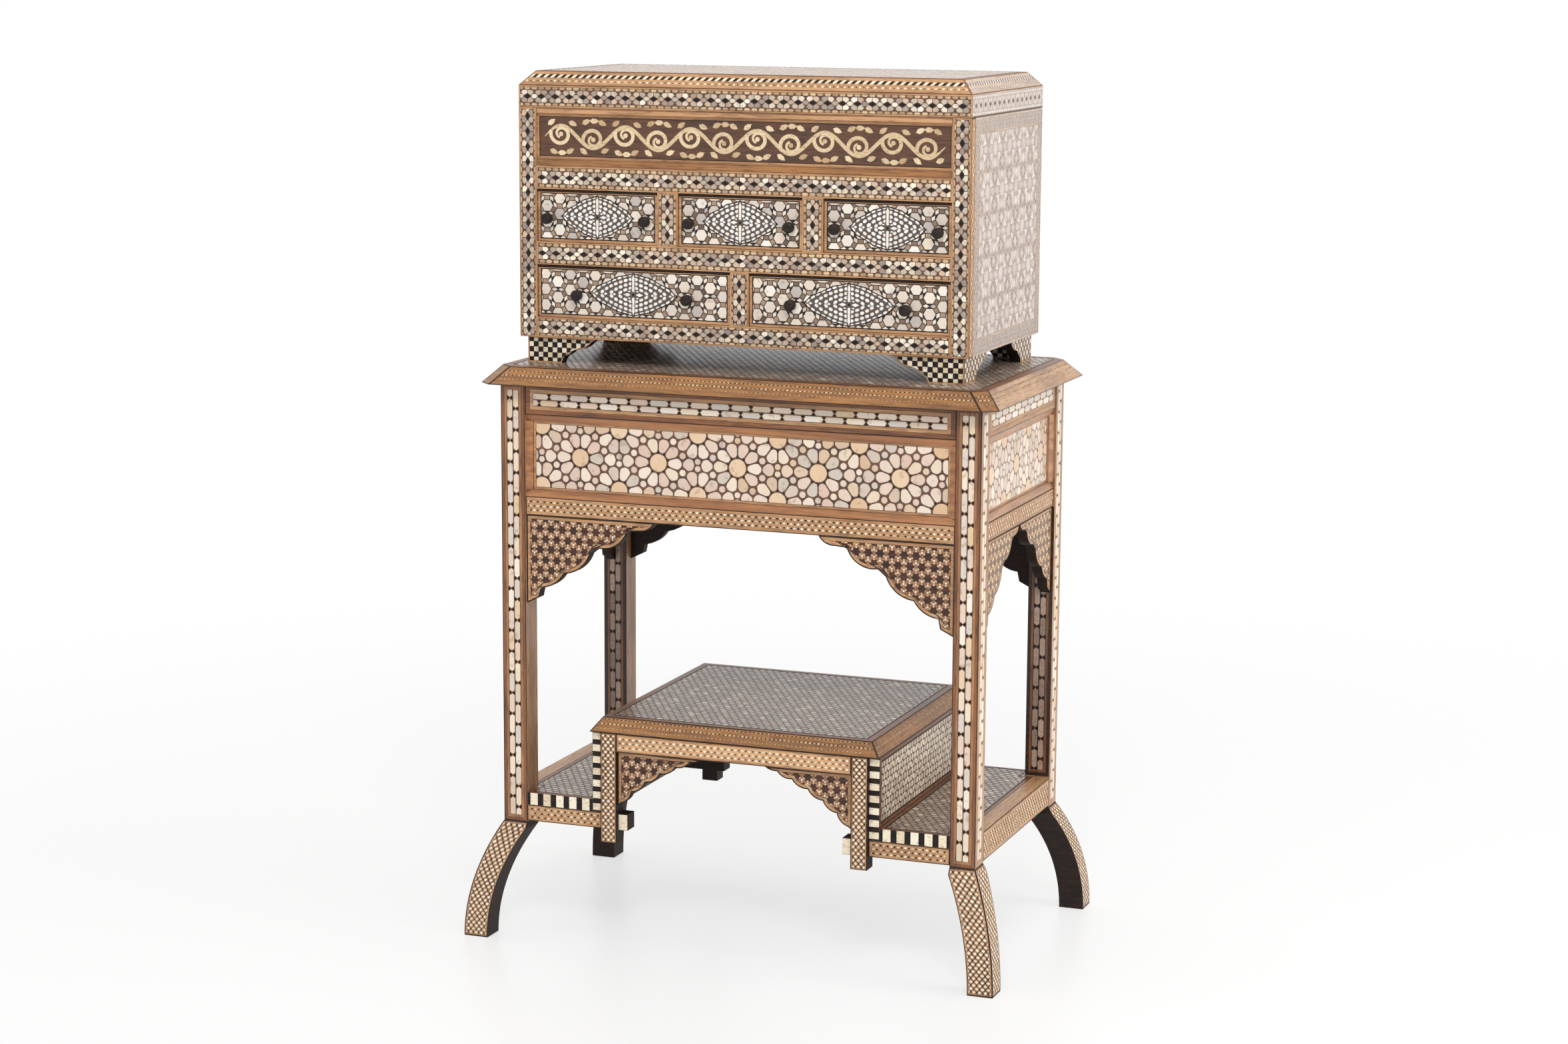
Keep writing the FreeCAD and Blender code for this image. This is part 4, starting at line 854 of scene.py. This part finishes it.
# Shelves. Two low boards notched round the posts, one at each end, with a rail under their ends and two below them.
# Their tops have the dark net; the front and back edges are faced with bone blocks and black ones between.
coat("shelves", net_ground)
DENTIL_TILES = [(2, oblong(11.4, 40)), (1, oblong(8.2, 40, (10, 0)))]
parts = []
for place, outline in flat_faces("shelves", (0, 0, 1)):
    parts += placed(netted(outline, 50, 8.0), place)
for sx in (-1, 1):
    for sy in (-1, 1):
        design = [lay(DENTIL_TILES, [oblong(99.5, 17.2)], 20.0, 80.0, 0.0, 51, ivory_set, 0.4)]
        parts += placed(design, facing((sx * 263.7, sy * FACE_Y, 196.0), (0, sy, 0)))
fitted("shelves_inlay", STAND, parts)
for name, sx in (("left", -1), ("right", 1)):
    coat(f"{name}_shelf_rails", stain_and_shade)
    parts = []
    for sy in (-1, 1):
        parts += placed(studded(116, 23, 52, honey_x, calm=True), facing((sx * 256, sy * FACE_Y, 175.5), (0, sy, 0)))
        parts += placed([plate(oblong(13.0, 22.0), 0.4, ivory)], facing((sx * 166.8, sy * FACE_Y, 175.5), (0, sy, 0)))
    parts += placed(studded(318, 41, 53, honey_y, calm=True), facing((sx * FACE_X, 0, 184.5), (sx, 0, 0)))
    parts += placed([plate(oblong(23.0, 317), 0.3, honey_y)], facing((sx * 338, 0, 205), (0, 0, 1)))
    fitted(f"{name}_shelf_rails_inlay", STAND, parts)


# Step. A raised board with sharp corners between the shelves, on two side boards and four short legs. A rail and a pair
# of scalloped spandrels stand between the legs at the front and the back, and the side boards' edges have bone and
# black blocks.
coat("step_sides", net_ground)
light_net = (bone_finish("side_tiles", (186, 162, 140), (232, 214, 192)), black, bone)
parts = []
for sx in (-1, 1):
    parts += placed(netted(oblong(388, 97), 60, 7.0, light_net), facing((sx * 213, 0, 254.5), (sx, 0, 0)))
    for sy in (-1, 1):
        blocks = [(kind, [(x * 0.85, y) for x, y in corners]) for kind, corners in DENTIL_TILES]
        design = [lay(blocks, [oblong(115, 14.2)], 17.0, 80.0, 0.0, 61, ivory_set, 0.4)]
        parts += placed(placed(design, upright), facing((sx * 205.5, sy * FACE_Y, 245.5), (0, sy, 0)))
fitted("step_sides_inlay", STAND, parts)
coat("step_legs", stain_and_shade)
parts = []
for sx in (-1, 1):
    for sy in (-1, 1):
        parts += placed(studded(24, 158, 62, finishes=ivory_set), facing((sx * 186, sy * 202, 225), (0, sy, 0)))
fitted("step_legs_inlay", STAND, parts)
coat("step_rails", stain_and_shade)
# A lighter copy of tan_ground: painted light against the shade under the stand top.
lit_step_tan = timber("lit_step_tan", (176, 126, 86), (228, 180, 132), 0, 0.5)
parts = []
for sy in (-1, 1):
    design = studded(348, 26, 63, honey_x, calm=True, wood=lit_step_tan, finishes=(pearl, bead_ground, ivory))
    parts += placed(design, facing((0, sy * 202, 291), (0, sy, 0)))
fitted("step_rails_inlay", STAND, parts)
coat("step_spandrels", stain_and_shade)
parts = []
for sy in (-1, 1):
    for place, outline in flat_faces("step_spandrels", (0, sy, 0)):
        parts += placed(spandrel_design(outline, 64), place)
fitted("step_spandrels_inlay", STAND, parts)
coat("step_top", net_ground)
parts = []
for place, outline in bevels("step_top"):
    parts += placed(bevel_design(outline, 65), place)
for place, outline in flat_faces("step_top", (0, 0, 1)):
    parts += placed(netted(outline, 66, 12.0), place)
fitted("step_top_inlay", STAND, parts)


# Chest feet. Eight bracket boards, mitred in pairs at the corners, with a chequer of bone and black pieces.
coat("chest_feet", stain_and_shade)
CHECK_TILES = [(2, oblong(6.8, 6.8)), (1, oblong(6.8, 6.8, (7.2, 0)))]
parts = []
for out in ((0, -1, 0), (0, 1, 0), (1, 0, 0), (-1, 0, 0)):
    for place, outline in flat_faces("chest_feet", out):
        across = [x for x, _ in outline]
        if max(across) - min(across) > 60:
            bed = cleared(inward(outline, 2.2))
            # Feet at the ends take the pale studs of painted glare.
            edge, shells = (honey_x, ivory_set) if out[1] else (honey_y, (pearl, end_glare_dark, ivory))
            chequer = lay(CHECK_TILES, [bed], 14.4, 7.2, 0.5, 71, shells)
            parts += placed([strip(outline, 0.3, 1.8, edge), chequer], place)
fitted("chest_feet_inlay", STAND, parts)


# Front frame of the chest. Two stiles and four rails halved together, with dividers between the drawers. A chain of
# black lozenges in watered shell runs along each of them, with dusky bone and a tan strip at each side. The slim boards
# over and under the frieze are plain.
coat("chest_front_frame", tan_ground)
CHEST_LEFT, CHEST_RIGHT, CHEST_FRONT = -341, 315, -148
CHEST_MIDDLE = (CHEST_LEFT + CHEST_RIGHT) / 2
LINK = [(6.1, 0), (8.8, -2.9), (13.2, -2.9), (16.1, 0), (13.2, 2.9), (8.8, 2.9)]
SIDE_LINK = [(-5.0, 0), (-3.0, -2.4), (3.0, -2.4), (5.0, 0), (3.0, 2.4), (-3.0, 2.4)]
CHAIN_TILES = [(1, tile(4, 3.4, long=1.7)), (0, LINK)]
ARCH = [(0.4, 3.9), (5.9, 1.0), (8.4, 3.6), (9.9, 5.4), (7.2, 8.4), (0.4, 8.4)]
for sx in (-1, 1):
    for sy in (-1, 1):
        CHAIN_TILES.append((0, [(x * sx, y * sy) for x, y in ARCH][:: -sx * sy]))
for x in (0, 11):
    for y in (-11.6, 11.6):
        CHAIN_TILES.append((2, shifted(SIDE_LINK, (x, y))))
CHAIN_PITCH = 21.0
CHAIN_TILES = [(kind, [(x * CHAIN_PITCH / 22, y) for x, y in corners]) for kind, corners in CHAIN_TILES]
chain_ground = timber("chain_ground", (46, 29, 20), (94, 64, 44), 0, 0.45)
chain_finishes = (pewter, black, dusky_bone)


def chained(length, width, seed, edge=honey_x, ground=chain_ground, finishes=chain_finishes):
    """A chain of black lozenges in watered shell along a member, a row of dusky bone at each side, and a thin edge."""
    rim = 2.0
    long, wide = length - 2 * rim, width - 2 * rim
    parts = [strip(oblong(length, width), 0.2, rim, edge), plate(oblong(long, wide), 0.1, ground)]
    bed = oblong(long - 0.8, wide - 0.8)
    parts.append(lay(CHAIN_TILES, [bed], CHAIN_PITCH, 80.0, 0.0, seed, finishes, least=1.0))
    return parts


parts = []
for x in (-328, 302):
    parts += placed(placed(chained(318, 26, 81, honey_z), upright), facing((x, CHEST_FRONT, 1007.5), (0, -1, 0)))
for low, high in ((848.5, 877), (950, 982), (1055, 1086.5)):
    parts += placed(chained(604, high - low, 82), facing((CHEST_MIDDLE, CHEST_FRONT, (low + high) / 2), (0, -1, 0)))
for middle, high, wood in ((1091.8, 10, bevel_wood), (1162.2, 8.2, honey_x)):
    board = oblong(604, high)
    design = [strip(board, 0.2, 1.2, walnut_x), plate(inward(board, 1.4), 0.3, wood)]
    parts += placed(design, facing((CHEST_MIDDLE, CHEST_FRONT, middle), (0, -1, 0)))
for x, wide, middle in ((-118.67, 30, 1018.5), (92.67, 30, 1018.5), (CHEST_MIDDLE, 27, 913.5)):
    parts += placed(placed(chained(73, wide, 83, honey_z), upright), facing((x, CHEST_FRONT, middle), (0, -1, 0)))
for x, way in ((CHEST_LEFT, -1), (CHEST_RIGHT, 1)):
    # The frame's end faces take the pale studs of painted glare.
    design = studded(16, 318, 84, calm=True, finishes=(pewter, end_glare_dark, bone))
    parts += placed(design, facing((x, -140, 1007.5), (way, 0, 0)))
fitted("chest_front_frame_inlay", STAND, parts)


# Chest sides, back and inside. The sides are single boards with a net of twelve-pointed stars, 66 mm apart, in shell
# inside a band of small diamonds, with ground, shell and studs all painted pale and flat for the glare of the light
# from the right; the back, the bottom, the dust board and the drawers' guides are plain stained walnut.
# The sides' pale ground and strips are painted glare of the light from the right.
side_ground = timber("side_ground", (150, 133, 121), (182, 164, 152), 2, 0.4)
coat("chest_sides", side_ground)
soft_shell = shell_finish(
    "soft_shell",
    [(0.0, (190, 178, 168)), (0.4, (176, 162, 152)), (0.7, (198, 187, 176)), (1.0, (182, 173, 168))],
    0.3,
)
# The studs' black is painted almost as pale as the ground, and the shell flat: painted glare.
soft_dark = black_finish("soft_dark", (140, 120, 106), (164, 144, 128))
soft_light = shell_finish("soft_light", [(0.0, (212, 202, 194)), (1.0, (196, 186, 182))], 0.3)
pale_strip = timber("pale_strip", (160, 134, 112), (206, 180, 154), 1, 0.4)
KNOT_PITCH = 66.0


def knot_tiles():
    """A twelve-pointed star, six long pieces and six kites round it, and small stars where three meet."""
    tiles = [(0, star(12, 11.5, 7.6, turn=15))]
    for i in range(6):
        ray = [(13.4, 0), (19.0, -5.2), (27.0, -4.6), (32.0, 0), (27.0, 4.6), (19.0, 5.2)]
        tiles.append((0, shifted(ray, turn=60 * i)))
        kite = [(12.6, 0), (19.0, -4.4), (26.0, -5.2), (24.0, 0), (26.0, 5.2), (19.0, 4.4)]
        tiles.append((2, shifted(kite, turn=60 * i + 30)))
    for way in (30, 90):
        spot = shifted([(KNOT_PITCH / math.sqrt(3), 0)], turn=way)[0]
        tiles.append((0, star(6, 7.8, 4.6, spot, 0)))
        for i in range(6):
            tiles.append((1, shifted(tile(3, 1.9), shifted([(8.6, 0)], spot, 60 * i + 30)[0], 60 * i + 30)))
    return tiles


parts = []
for x, out in ((CHEST_LEFT, (-1, 0, 0)), (CHEST_RIGHT, (1, 0, 0))):
    outline = oblong(312, 318)
    design = [strip(outline, 0.3, 3.0, pale_strip), strip(outline, 20.0, 22.0, pale_strip)]
    band = (soft_shell, soft_dark, soft_shell)
    for seed, wide, high, x_off, y_off in ((91, 302, 14, 0, 151.5), (92, 14, 288, -144, 0)):
        beds = [oblong(wide, high, (x_off * sign, y_off * sign)) for sign in (1, -1)]
        design.append(lay(SEED_TILES, beds, 7.0, 6.1, 0.5, seed, band))
    net = (soft_shell, soft_dark, soft_light)
    design.append(lay(knot_tiles(), [oblong(266, 272)], KNOT_PITCH, KNOT_PITCH * 0.866, 0.5, 93, net))
    parts += placed(design, facing((x, 24, 1007.5), out))
fitted("chest_sides_inlay", STAND, parts)
plain = timber("stained_walnut", (46, 26, 16), (88, 54, 34), 0, 0.55, 0.5)
for name in ("chest_back", "chest_bottom", "dust_board", "well_floor", "drawer_guides"):
    coat(name, plain)


# Frieze. A dark walnut board set back between the stiles above the drawers, with a tan strip and a black line round it.
# A scrolling vine of bone runs along it, with one wave and two curls to every 97 mm.
WAVE = 96.8
coat("frieze_board", timber("frieze_walnut", (52, 28, 14), (96, 58, 33), 0, 0.45, 0.5))
vine_bone = bone_finish("vine_bone", (180, 144, 98), (232, 210, 172))


def swept(path, widths):
    """One flat ribbon along a path, as wide at each point as its width says."""
    left, right = [], []
    for i, point in enumerate(path):
        before, after = Vector(path[max(i - 1, 0)]), Vector(path[min(i + 1, len(path) - 1)])
        along = (after - before).normalized()
        side = Vector((-along.y, along.x)) * widths[i] / 2
        left.append(tuple(Vector(point) + side))
        right.append(tuple(Vector(point) - side))
    return right + left[::-1]


def vine_tiles():
    """One wave of the vine, with a curl in each hollow and leaves along it."""
    tiles = []
    for sign, x in ((1, WAVE / 4), (-1, -WAVE / 4)):
        curl = []
        for i in range(26):
            angle, reach = math.radians(200 - 450 * i / 25), 15.5 - 11.0 * i / 25
            curl.append((x + reach * math.cos(angle) * 1.05, sign * (reach * math.sin(angle) - 3.5)))
        ribbon = swept(curl, [5.4 - 2.2 * i / 25 for i in range(26)])
        tiles += [(2, ribbon[::-sign]), (2, tile(10, 3.4, (x, sign * -3.5)))]
        leaf = [(-6.8, 0), (-2.4, -3.7), (2.8, -3.2), (7.4, 0), (2.8, 3.2), (-2.4, 3.7)]
        spots = [(17.5, -18.2, 22), (-14.5, -19.5, -35), (1.5, 22.2, 0), (-10.8, 20.6, 24), (13.4, 19.8, -26)]
        tiles += [(2, shifted(leaf, (x + a, sign * b), sign * turn)) for a, b, turn in spots]
    return tiles


outline = oblong(604, 61)
parts = [strip(outline, 0.2, 3.0, honey_x), strip(outline, 3.2, 4.0, black)]
stem = [(2.42 * i, 15 * math.sin(2 * math.pi * i / 40)) for i in range(-120, 121)]
parts.append(plate(swept(stem, [min(5.2, 1.0 + (120 - abs(i)) * 0.5) for i in range(-120, 121)]), 0.35, vine_bone))
leaves = (vine_bone, black, vine_bone)
parts.append(lay(vine_tiles(), [oblong(578, 52.6)], WAVE, 200.0, 0.0, 95, leaves, 0.5, start=(WAVE / 2, 0)))
placed(parts, facing((CHEST_MIDDLE, -144, 1127.5), (0, -1, 0)))
fitted("frieze_vine", STAND, parts)


# Drawers. Three small ones over two wide ones, each a box of thin boards behind a thick front, on battens at the sides.
# The fronts have pearl hexagons and rhombs and dull squares in fine black lines, round a lozenge of small white pieces,
# and a tan border.
ROSETTE_PITCH, ROSETTE_ROWS = 38.0, 32.91
ROSETTE_TILES = [(0, tile(6, 8.4))]
for way in range(6):
    ROSETTE_TILES.append((0, shifted([(9.4, 0), (13.8, -2.7), (18.4, 0), (13.8, 2.7)], turn=60 * way)))
    ROSETTE_TILES.append((2, shifted([(8.2, -3.4), (13.5, -3.6), (13.5, 3.6), (8.2, 3.4)], turn=60 * way + 30)))
for way in (30, 90):
    ROSETTE_TILES.append((0, tile(6, 8.6, shifted([(21.94, 0)], turn=way)[0])))
frosted = shell_finish(
    "frosted_shell",
    [
        (0.0, (246, 238, 226)),
        (0.3, (206, 194, 182)),
        (0.5, (236, 222, 204)),
        (0.7, (172, 164, 160)),
        (1.0, (226, 210, 190)),
    ],
)
dull_shell = bone_finish("dull_shell", (74, 54, 42), (168, 140, 114))
bright = shell_finish("bright_shell", [(0.0, (250, 246, 238)), (0.6, (222, 222, 222)), (1.0, (240, 226, 206))])
slate = bone_finish("slate_shell", (50, 41, 37), (92, 80, 73))


def lozenge(half, deep, lobe=0.0):
    """The outline of a bulging lozenge, with shallow lobes along it if asked."""
    corners = []
    for i in range(72):
        angle = math.radians(5 * i)
        c, s, reach = math.cos(angle), math.sin(angle), 1 - lobe * abs(math.sin(6 * angle))
        corners.append((half * reach * math.copysign(abs(c) ** 1.5, c), deep * reach * math.copysign(abs(s) ** 1.5, s)))
    return cleared(corners)


def filigree(half, deep):
    """The medallion's small pieces: four rings of them that follow its outline, round a cross with a black middle."""
    drawn = [(1, tile(4, 2.2))] + [(0, tile(4, 2.0, (side * half * 0.96, 0), long=1.6)) for side in (1, -1)]
    for share, thick, kind in ((0.9, 1.5, 0), (0.72, 2.1, 0), (0.52, 2.2, 2), (0.33, 2.0, 0)):
        sides = [(here, after) for _, here, after in neighbours(lozenge(half * share, deep * share))]
        around = sum((b - a).length for a, b in sides)
        count = 4 * round(around / 33)
        for n in range(count):
            left = (n + 0.5) / count * around
            for a, b in sides:
                if left <= (b - a).length:
                    break
                left -= (b - a).length
            spot, turn = a.lerp(b, left / (b - a).length), math.degrees(math.atan2(b.y - a.y, b.x - a.x))
            long, away = around / count / 2 - 0.5, math.copysign(1, spot.x)
            halfway = [(-long, 0), (-long * 0.5, -thick), (long * 0.5, -thick)]
            piece = shifted(halfway + [(-x, -y) for x, y in halfway], spot, turn)
            drawn.append((kind, cleared([(away * max(x * away, 2.9), y) for x, y in piece])))
        if share < 0.9:
            drawn += [(0, tile(4, 1.9, (sign * half * (share + 0.09), 0), long=1.4)) for sign in (1, -1)]
    arm = [(-2.0, 4.2), (0, 3.2), (2.0, 4.2), (1.6, deep * 0.5), (2.1, deep * 0.75), (0, deep * 0.93)]
    arm += [(-2.1, deep * 0.75), (-1.6, deep * 0.5)]
    leaf = [(3.4, 0), (9.0, -2.6), (15.0, 0), (9.0, 2.6)]
    for sign in (1, -1):
        drawn += [(0, [(x * sign, y * sign) for x, y in corners]) for corners in (arm, leaf)]
        drawn += [(2, tile(4, 1.3, (sign * 6.0, 4.7 * other), long=1.8)) for other in (1, -1)]
    return drawn


drawer_ground = black_finish("drawer_ground", (26, 19, 16), (66, 50, 40), 0.1)
ebony = black_finish("ebony", (14, 9, 7), (46, 30, 22), 0.12)
for name, low, high, bottom in (
    ("small_left", -315, -133.67, 982),
    ("small_centre", -103.67, 77.67, 982),
    ("small_right", 107.67, 289, 982),
    ("wide_left", -315, -26.5, 877),
    ("wide_right", 0.5, 289, 877),
):
    for part, finish in (("front", drawer_ground), ("box", plain), ("knobs", ebony)):
        coat(f"{name}_drawer_{part}", finish)
    wide, tall = high - low - 1.6, 71.2
    outline = oblong(wide, tall)
    parts = [strip(outline, 0.2, 3.6, honey_x), strip(outline, 3.8, 4.4, black)]
    deep, half = tall / 2 - 5.0, 56.0 if wide < 200 else 68.0
    tiles = [(kind, shifted(corners, (19, 3))) for kind, corners in ROSETTE_TILES]
    bed, shells = oblong(wide - 10, tall - 10), (frosted, black, dull_shell)
    parts.append(lay(tiles, [bed], ROSETTE_PITCH, ROSETTE_ROWS, 0.5, 101 + int(low) % 7, shells, least=2.0))
    heart = lozenge(half, deep, 0.05)
    parts += [plate(heart, 0.5, slate), strip(heart, 0.0, 1.2, black, 0.62)]
    whites = (bright, black, bright)
    parts.append(lay(filigree(half, deep), [inward(heart, 1.3)], 900.0, 900.0, 0.0, 102, whites, 0.7, 0.8))
    # A black strip along the top edge of each front: painted shadow of the gap over the drawer.
    parts.append(plate(oblong(wide - 0.6, 2.4, (0, tall / 2 - 1.5)), 0.4, black))
    placed(parts, facing(((low + high) / 2, -145, bottom + 0.3 + tall / 2), (0, -1, 0)))
    fitted(f"{name}_drawer_inlay", f"{name}_drawer", parts)


# Lid. Four rim boards joined at the corners under a bevelled top board, hinged at the back.
# The rim has the frame's chain of lozenges, the bevel a rope of slanting drops, black and bone by turns, over a row of
# dots, and the top a net painted pale for the reflection of the sky on it. The ends are painted paler, for the glare of
# the light from the right, with a dark strip along their lower edge that is painted shadow of the lid's joint, and
# plain walnut lines the top from below.
coat("lid_rim", plain)
coat("lid_top", net_ground)
# The top's shell and tan tiles are painted pale: a painted reflection of the sky on the top.
painted_sheen_net = (
    shell_finish("painted_sheen_shell", [(0.0, (196, 180, 168)), (0.5, (168, 150, 138)), (1.0, (206, 194, 184))]),
    black,
    bone_finish("painted_sheen_tan", (150, 124, 102), (190, 164, 138)),
)
# The chain for the lid's ends, painted pale and flat for the glare of the light from the right.
pale_chain = (soft_shell, end_glare_dark, soft_light)
parts = []
for out, face in (((0, -1, 0), CHEST_FRONT), ((0, 1, 0), 180)):
    parts += placed(chained(656, 30, 111), facing((CHEST_MIDDLE, face, 1182), out))
# The ends' rim is painted pale and flat for the glare of the light from the right.
for out, face in (((-1, 0, 0), CHEST_LEFT), ((1, 0, 0), CHEST_RIGHT)):
    # A dark strip along the rim's lower edge: painted shadow of the lid's joint.
    painted_shadow_line = plate(oblong(327, 1.4, (0, -14.2)), 0.4, plain)
    parts += placed(chained(328, 30, 111, pale_strip, side_ground, pale_chain) + [painted_shadow_line], facing((face, 16, 1182), out))
fitted("lid_rim_inlay", "lid", parts)
ROPE_PITCH = 10.6
DROP = [(-5.0, -0.5), (-1.0, -2.2), (3.0, -1.6), (5.1, 0.5), (2.0, 2.2), (-2.4, 1.8)]
ROPE_TILES = [(1, shifted(DROP, (0, 0), 40)), (2, shifted(DROP, (5.3, 0), 40))]
ROPE_TILES += [(2, tile(6, 1.9, (0, -8.6))), (1, tile(4, 1.1, (5.3, -8.6)))]
parts = placed([plate(oblong(623, 295), 0.3, plain)], facing((CHEST_MIDDLE, 16, 1197.3), (0, 0, -1)))
for place, outline in bevels("lid_top"):
    at_end = abs(place.col[2].x) > 2 * abs(place.col[2].y)
    # At the ends the bevel is painted pale for the glare.
    wood, shells = (pale_strip, pale_chain) if at_end else (honey_x, ivory_set)
    parts += placed([plate(inward(outline, 0.2), 0.12, wood), strip(outline, 0.3, 1.3, walnut_x, 0.3)], place)
    rope = lay(ROPE_TILES, [inward(outline, 2.2)], ROPE_PITCH, 60.0, 0.0, 112, shells, least=0.8, start=(0, 3.6))
    parts += placed([rope], place)
for place, outline in flat_faces("lid_top", (0, 0, 1)):
    parts += placed(netted(outline, 113, 10.0, painted_sheen_net), place)
fitted("lid_top_inlay", "lid", parts)


# Hinges. Two brass butts at the back, each leaf let in and held by six screws, gone dull with age.
aged = Finish("aged_brass")
patina = aged.noise(60.0, 4.0)
spots = aged.noise(190.0, 2.0)
skin = aged.ramp(patina, [(0.3, (112, 82, 40)), (0.6, (176, 136, 72)), (0.8, (196, 160, 96))])
brass = aged.done(
    Base_Color=aged.mix((spots > 0.62) * 0.6, skin, (72, 56, 34)),
    Metallic=0.95 - (spots > 0.62) * 0.4,
    Roughness=0.34 + patina * 0.25,
    Normal=aged.bump(spots, 0.0002, 0.4),
)
for name in ("chest_hinge_leaves", "lid_hinge_leaves", "hinge_pins", "chest_hinge_screws", "lid_hinge_screws"):
    coat(name, brass)


# Floor, light and camera. A plain pale floor that runs out to white, a large soft light high up in front, a weaker one
# at the right, and an even sky.
def seen_straight(nodes):
    """1 for what the camera sees, also in a polished or a clear thing, and 0 for the light that falls on things."""
    ray = nodes.node("ShaderNodeLightPath", output="Is Camera Ray")
    return ray.maths("MAXIMUM", ray, ray.maths("MAXIMUM", ray.other("Is Glossy Ray"), ray.other("Is Transmission Ray")))


floor_mesh = bpy.data.meshes.new("floor")
floor_mesh.from_pydata([(-9, -7, 0), (9, -7, 0), (9, 11, 0), (-9, 11, 0)], [], [(0, 1, 2, 3)])
floor = bpy.data.objects.new("floor", floor_mesh)
bpy.context.scene.collection.objects.link(floor)
paper = Finish("floor_paper")
mottle = paper.noise(3.0, 2.0)
paper.done(Base_Color=paper.mix(mottle * 0.1, (246, 245, 244), (240, 239, 238)), Roughness=0.32)
reach = paper.node("ShaderNodeVectorMath", {"operation": "LENGTH"}, [paper.place], "Value")
fade = paper.node("ShaderNodeMapRange", {"interpolation_type": "SMOOTHSTEP"}, [reach, 0.9, 2.6, 0.62, 1.0])
glow = paper.node("ShaderNodeEmission", None, {"Color": (1, 1, 1, 1), "Strength": 1.0})
shaded = Wire(paper, paper.shader.outputs["BSDF"])
both = paper.node("ShaderNodeMixShader", None, [fade * seen_straight(paper), shaded, glow])
paper.join(paper.tree.nodes["Material Output"].inputs["Surface"], both)
floor_mesh.materials.append(paper.material)

world = bpy.data.worlds.new("studio")
bpy.context.scene.world = world
world.use_nodes = True
sky = Nodes(world.node_tree)
shown = world.node_tree.nodes["Background"]
shown.inputs["Color"].default_value = (1, 1, 1, 1)
sky.join(shown.inputs["Strength"], 0.76 + seen_straight(sky) * 0.24)


def lamp(name, spot, aim, size, power):
    """A large square soft light that looks at a point."""
    data = bpy.data.lights.new(name, "AREA")
    data.shape = "RECTANGLE"
    data.size, data.size_y = size
    data.energy = power
    lit = bpy.data.objects.new(name, data)
    bpy.context.scene.collection.objects.link(lit)
    lit.location = spot
    lit.rotation_euler = (Vector(aim) - Vector(spot)).to_track_quat("-Z", "Y").to_euler()


lamp("front_light", (1.2, -3.0, 3.6), (0, 0, 0.7), (1.6, 1.0), 70)
lamp("right_light", (3.4, 0.2, 1.8), (0, 0, 0.7), (1.6, 2.2), 38)

camera_data = bpy.data.cameras.new("camera")
camera_data.lens = 76.003
camera_data.sensor_width = 36.0
camera = bpy.data.objects.new("camera", camera_data)
bpy.context.scene.collection.objects.link(camera)
yaw, pitch, roll = math.radians(20.6288), math.radians(9.9133), math.radians(0.3377)
ahead = Vector((-math.sin(yaw) * math.cos(pitch), math.cos(yaw) * math.cos(pitch), -math.sin(pitch)))
right = ahead.cross(Vector((0, 0, 1))).normalized()
above = right.cross(ahead)
right, above = right * math.cos(roll) + above * math.sin(roll), above * math.cos(roll) - right * math.sin(roll)
turned = Matrix((right, above, -ahead)).transposed().to_4x4()
camera.matrix_world = Matrix.Translation((1.62824, -4.32938, 1.39151)) @ turned
bpy.context.scene.camera = camera
bpy.context.scene.view_settings.view_transform = "Standard"
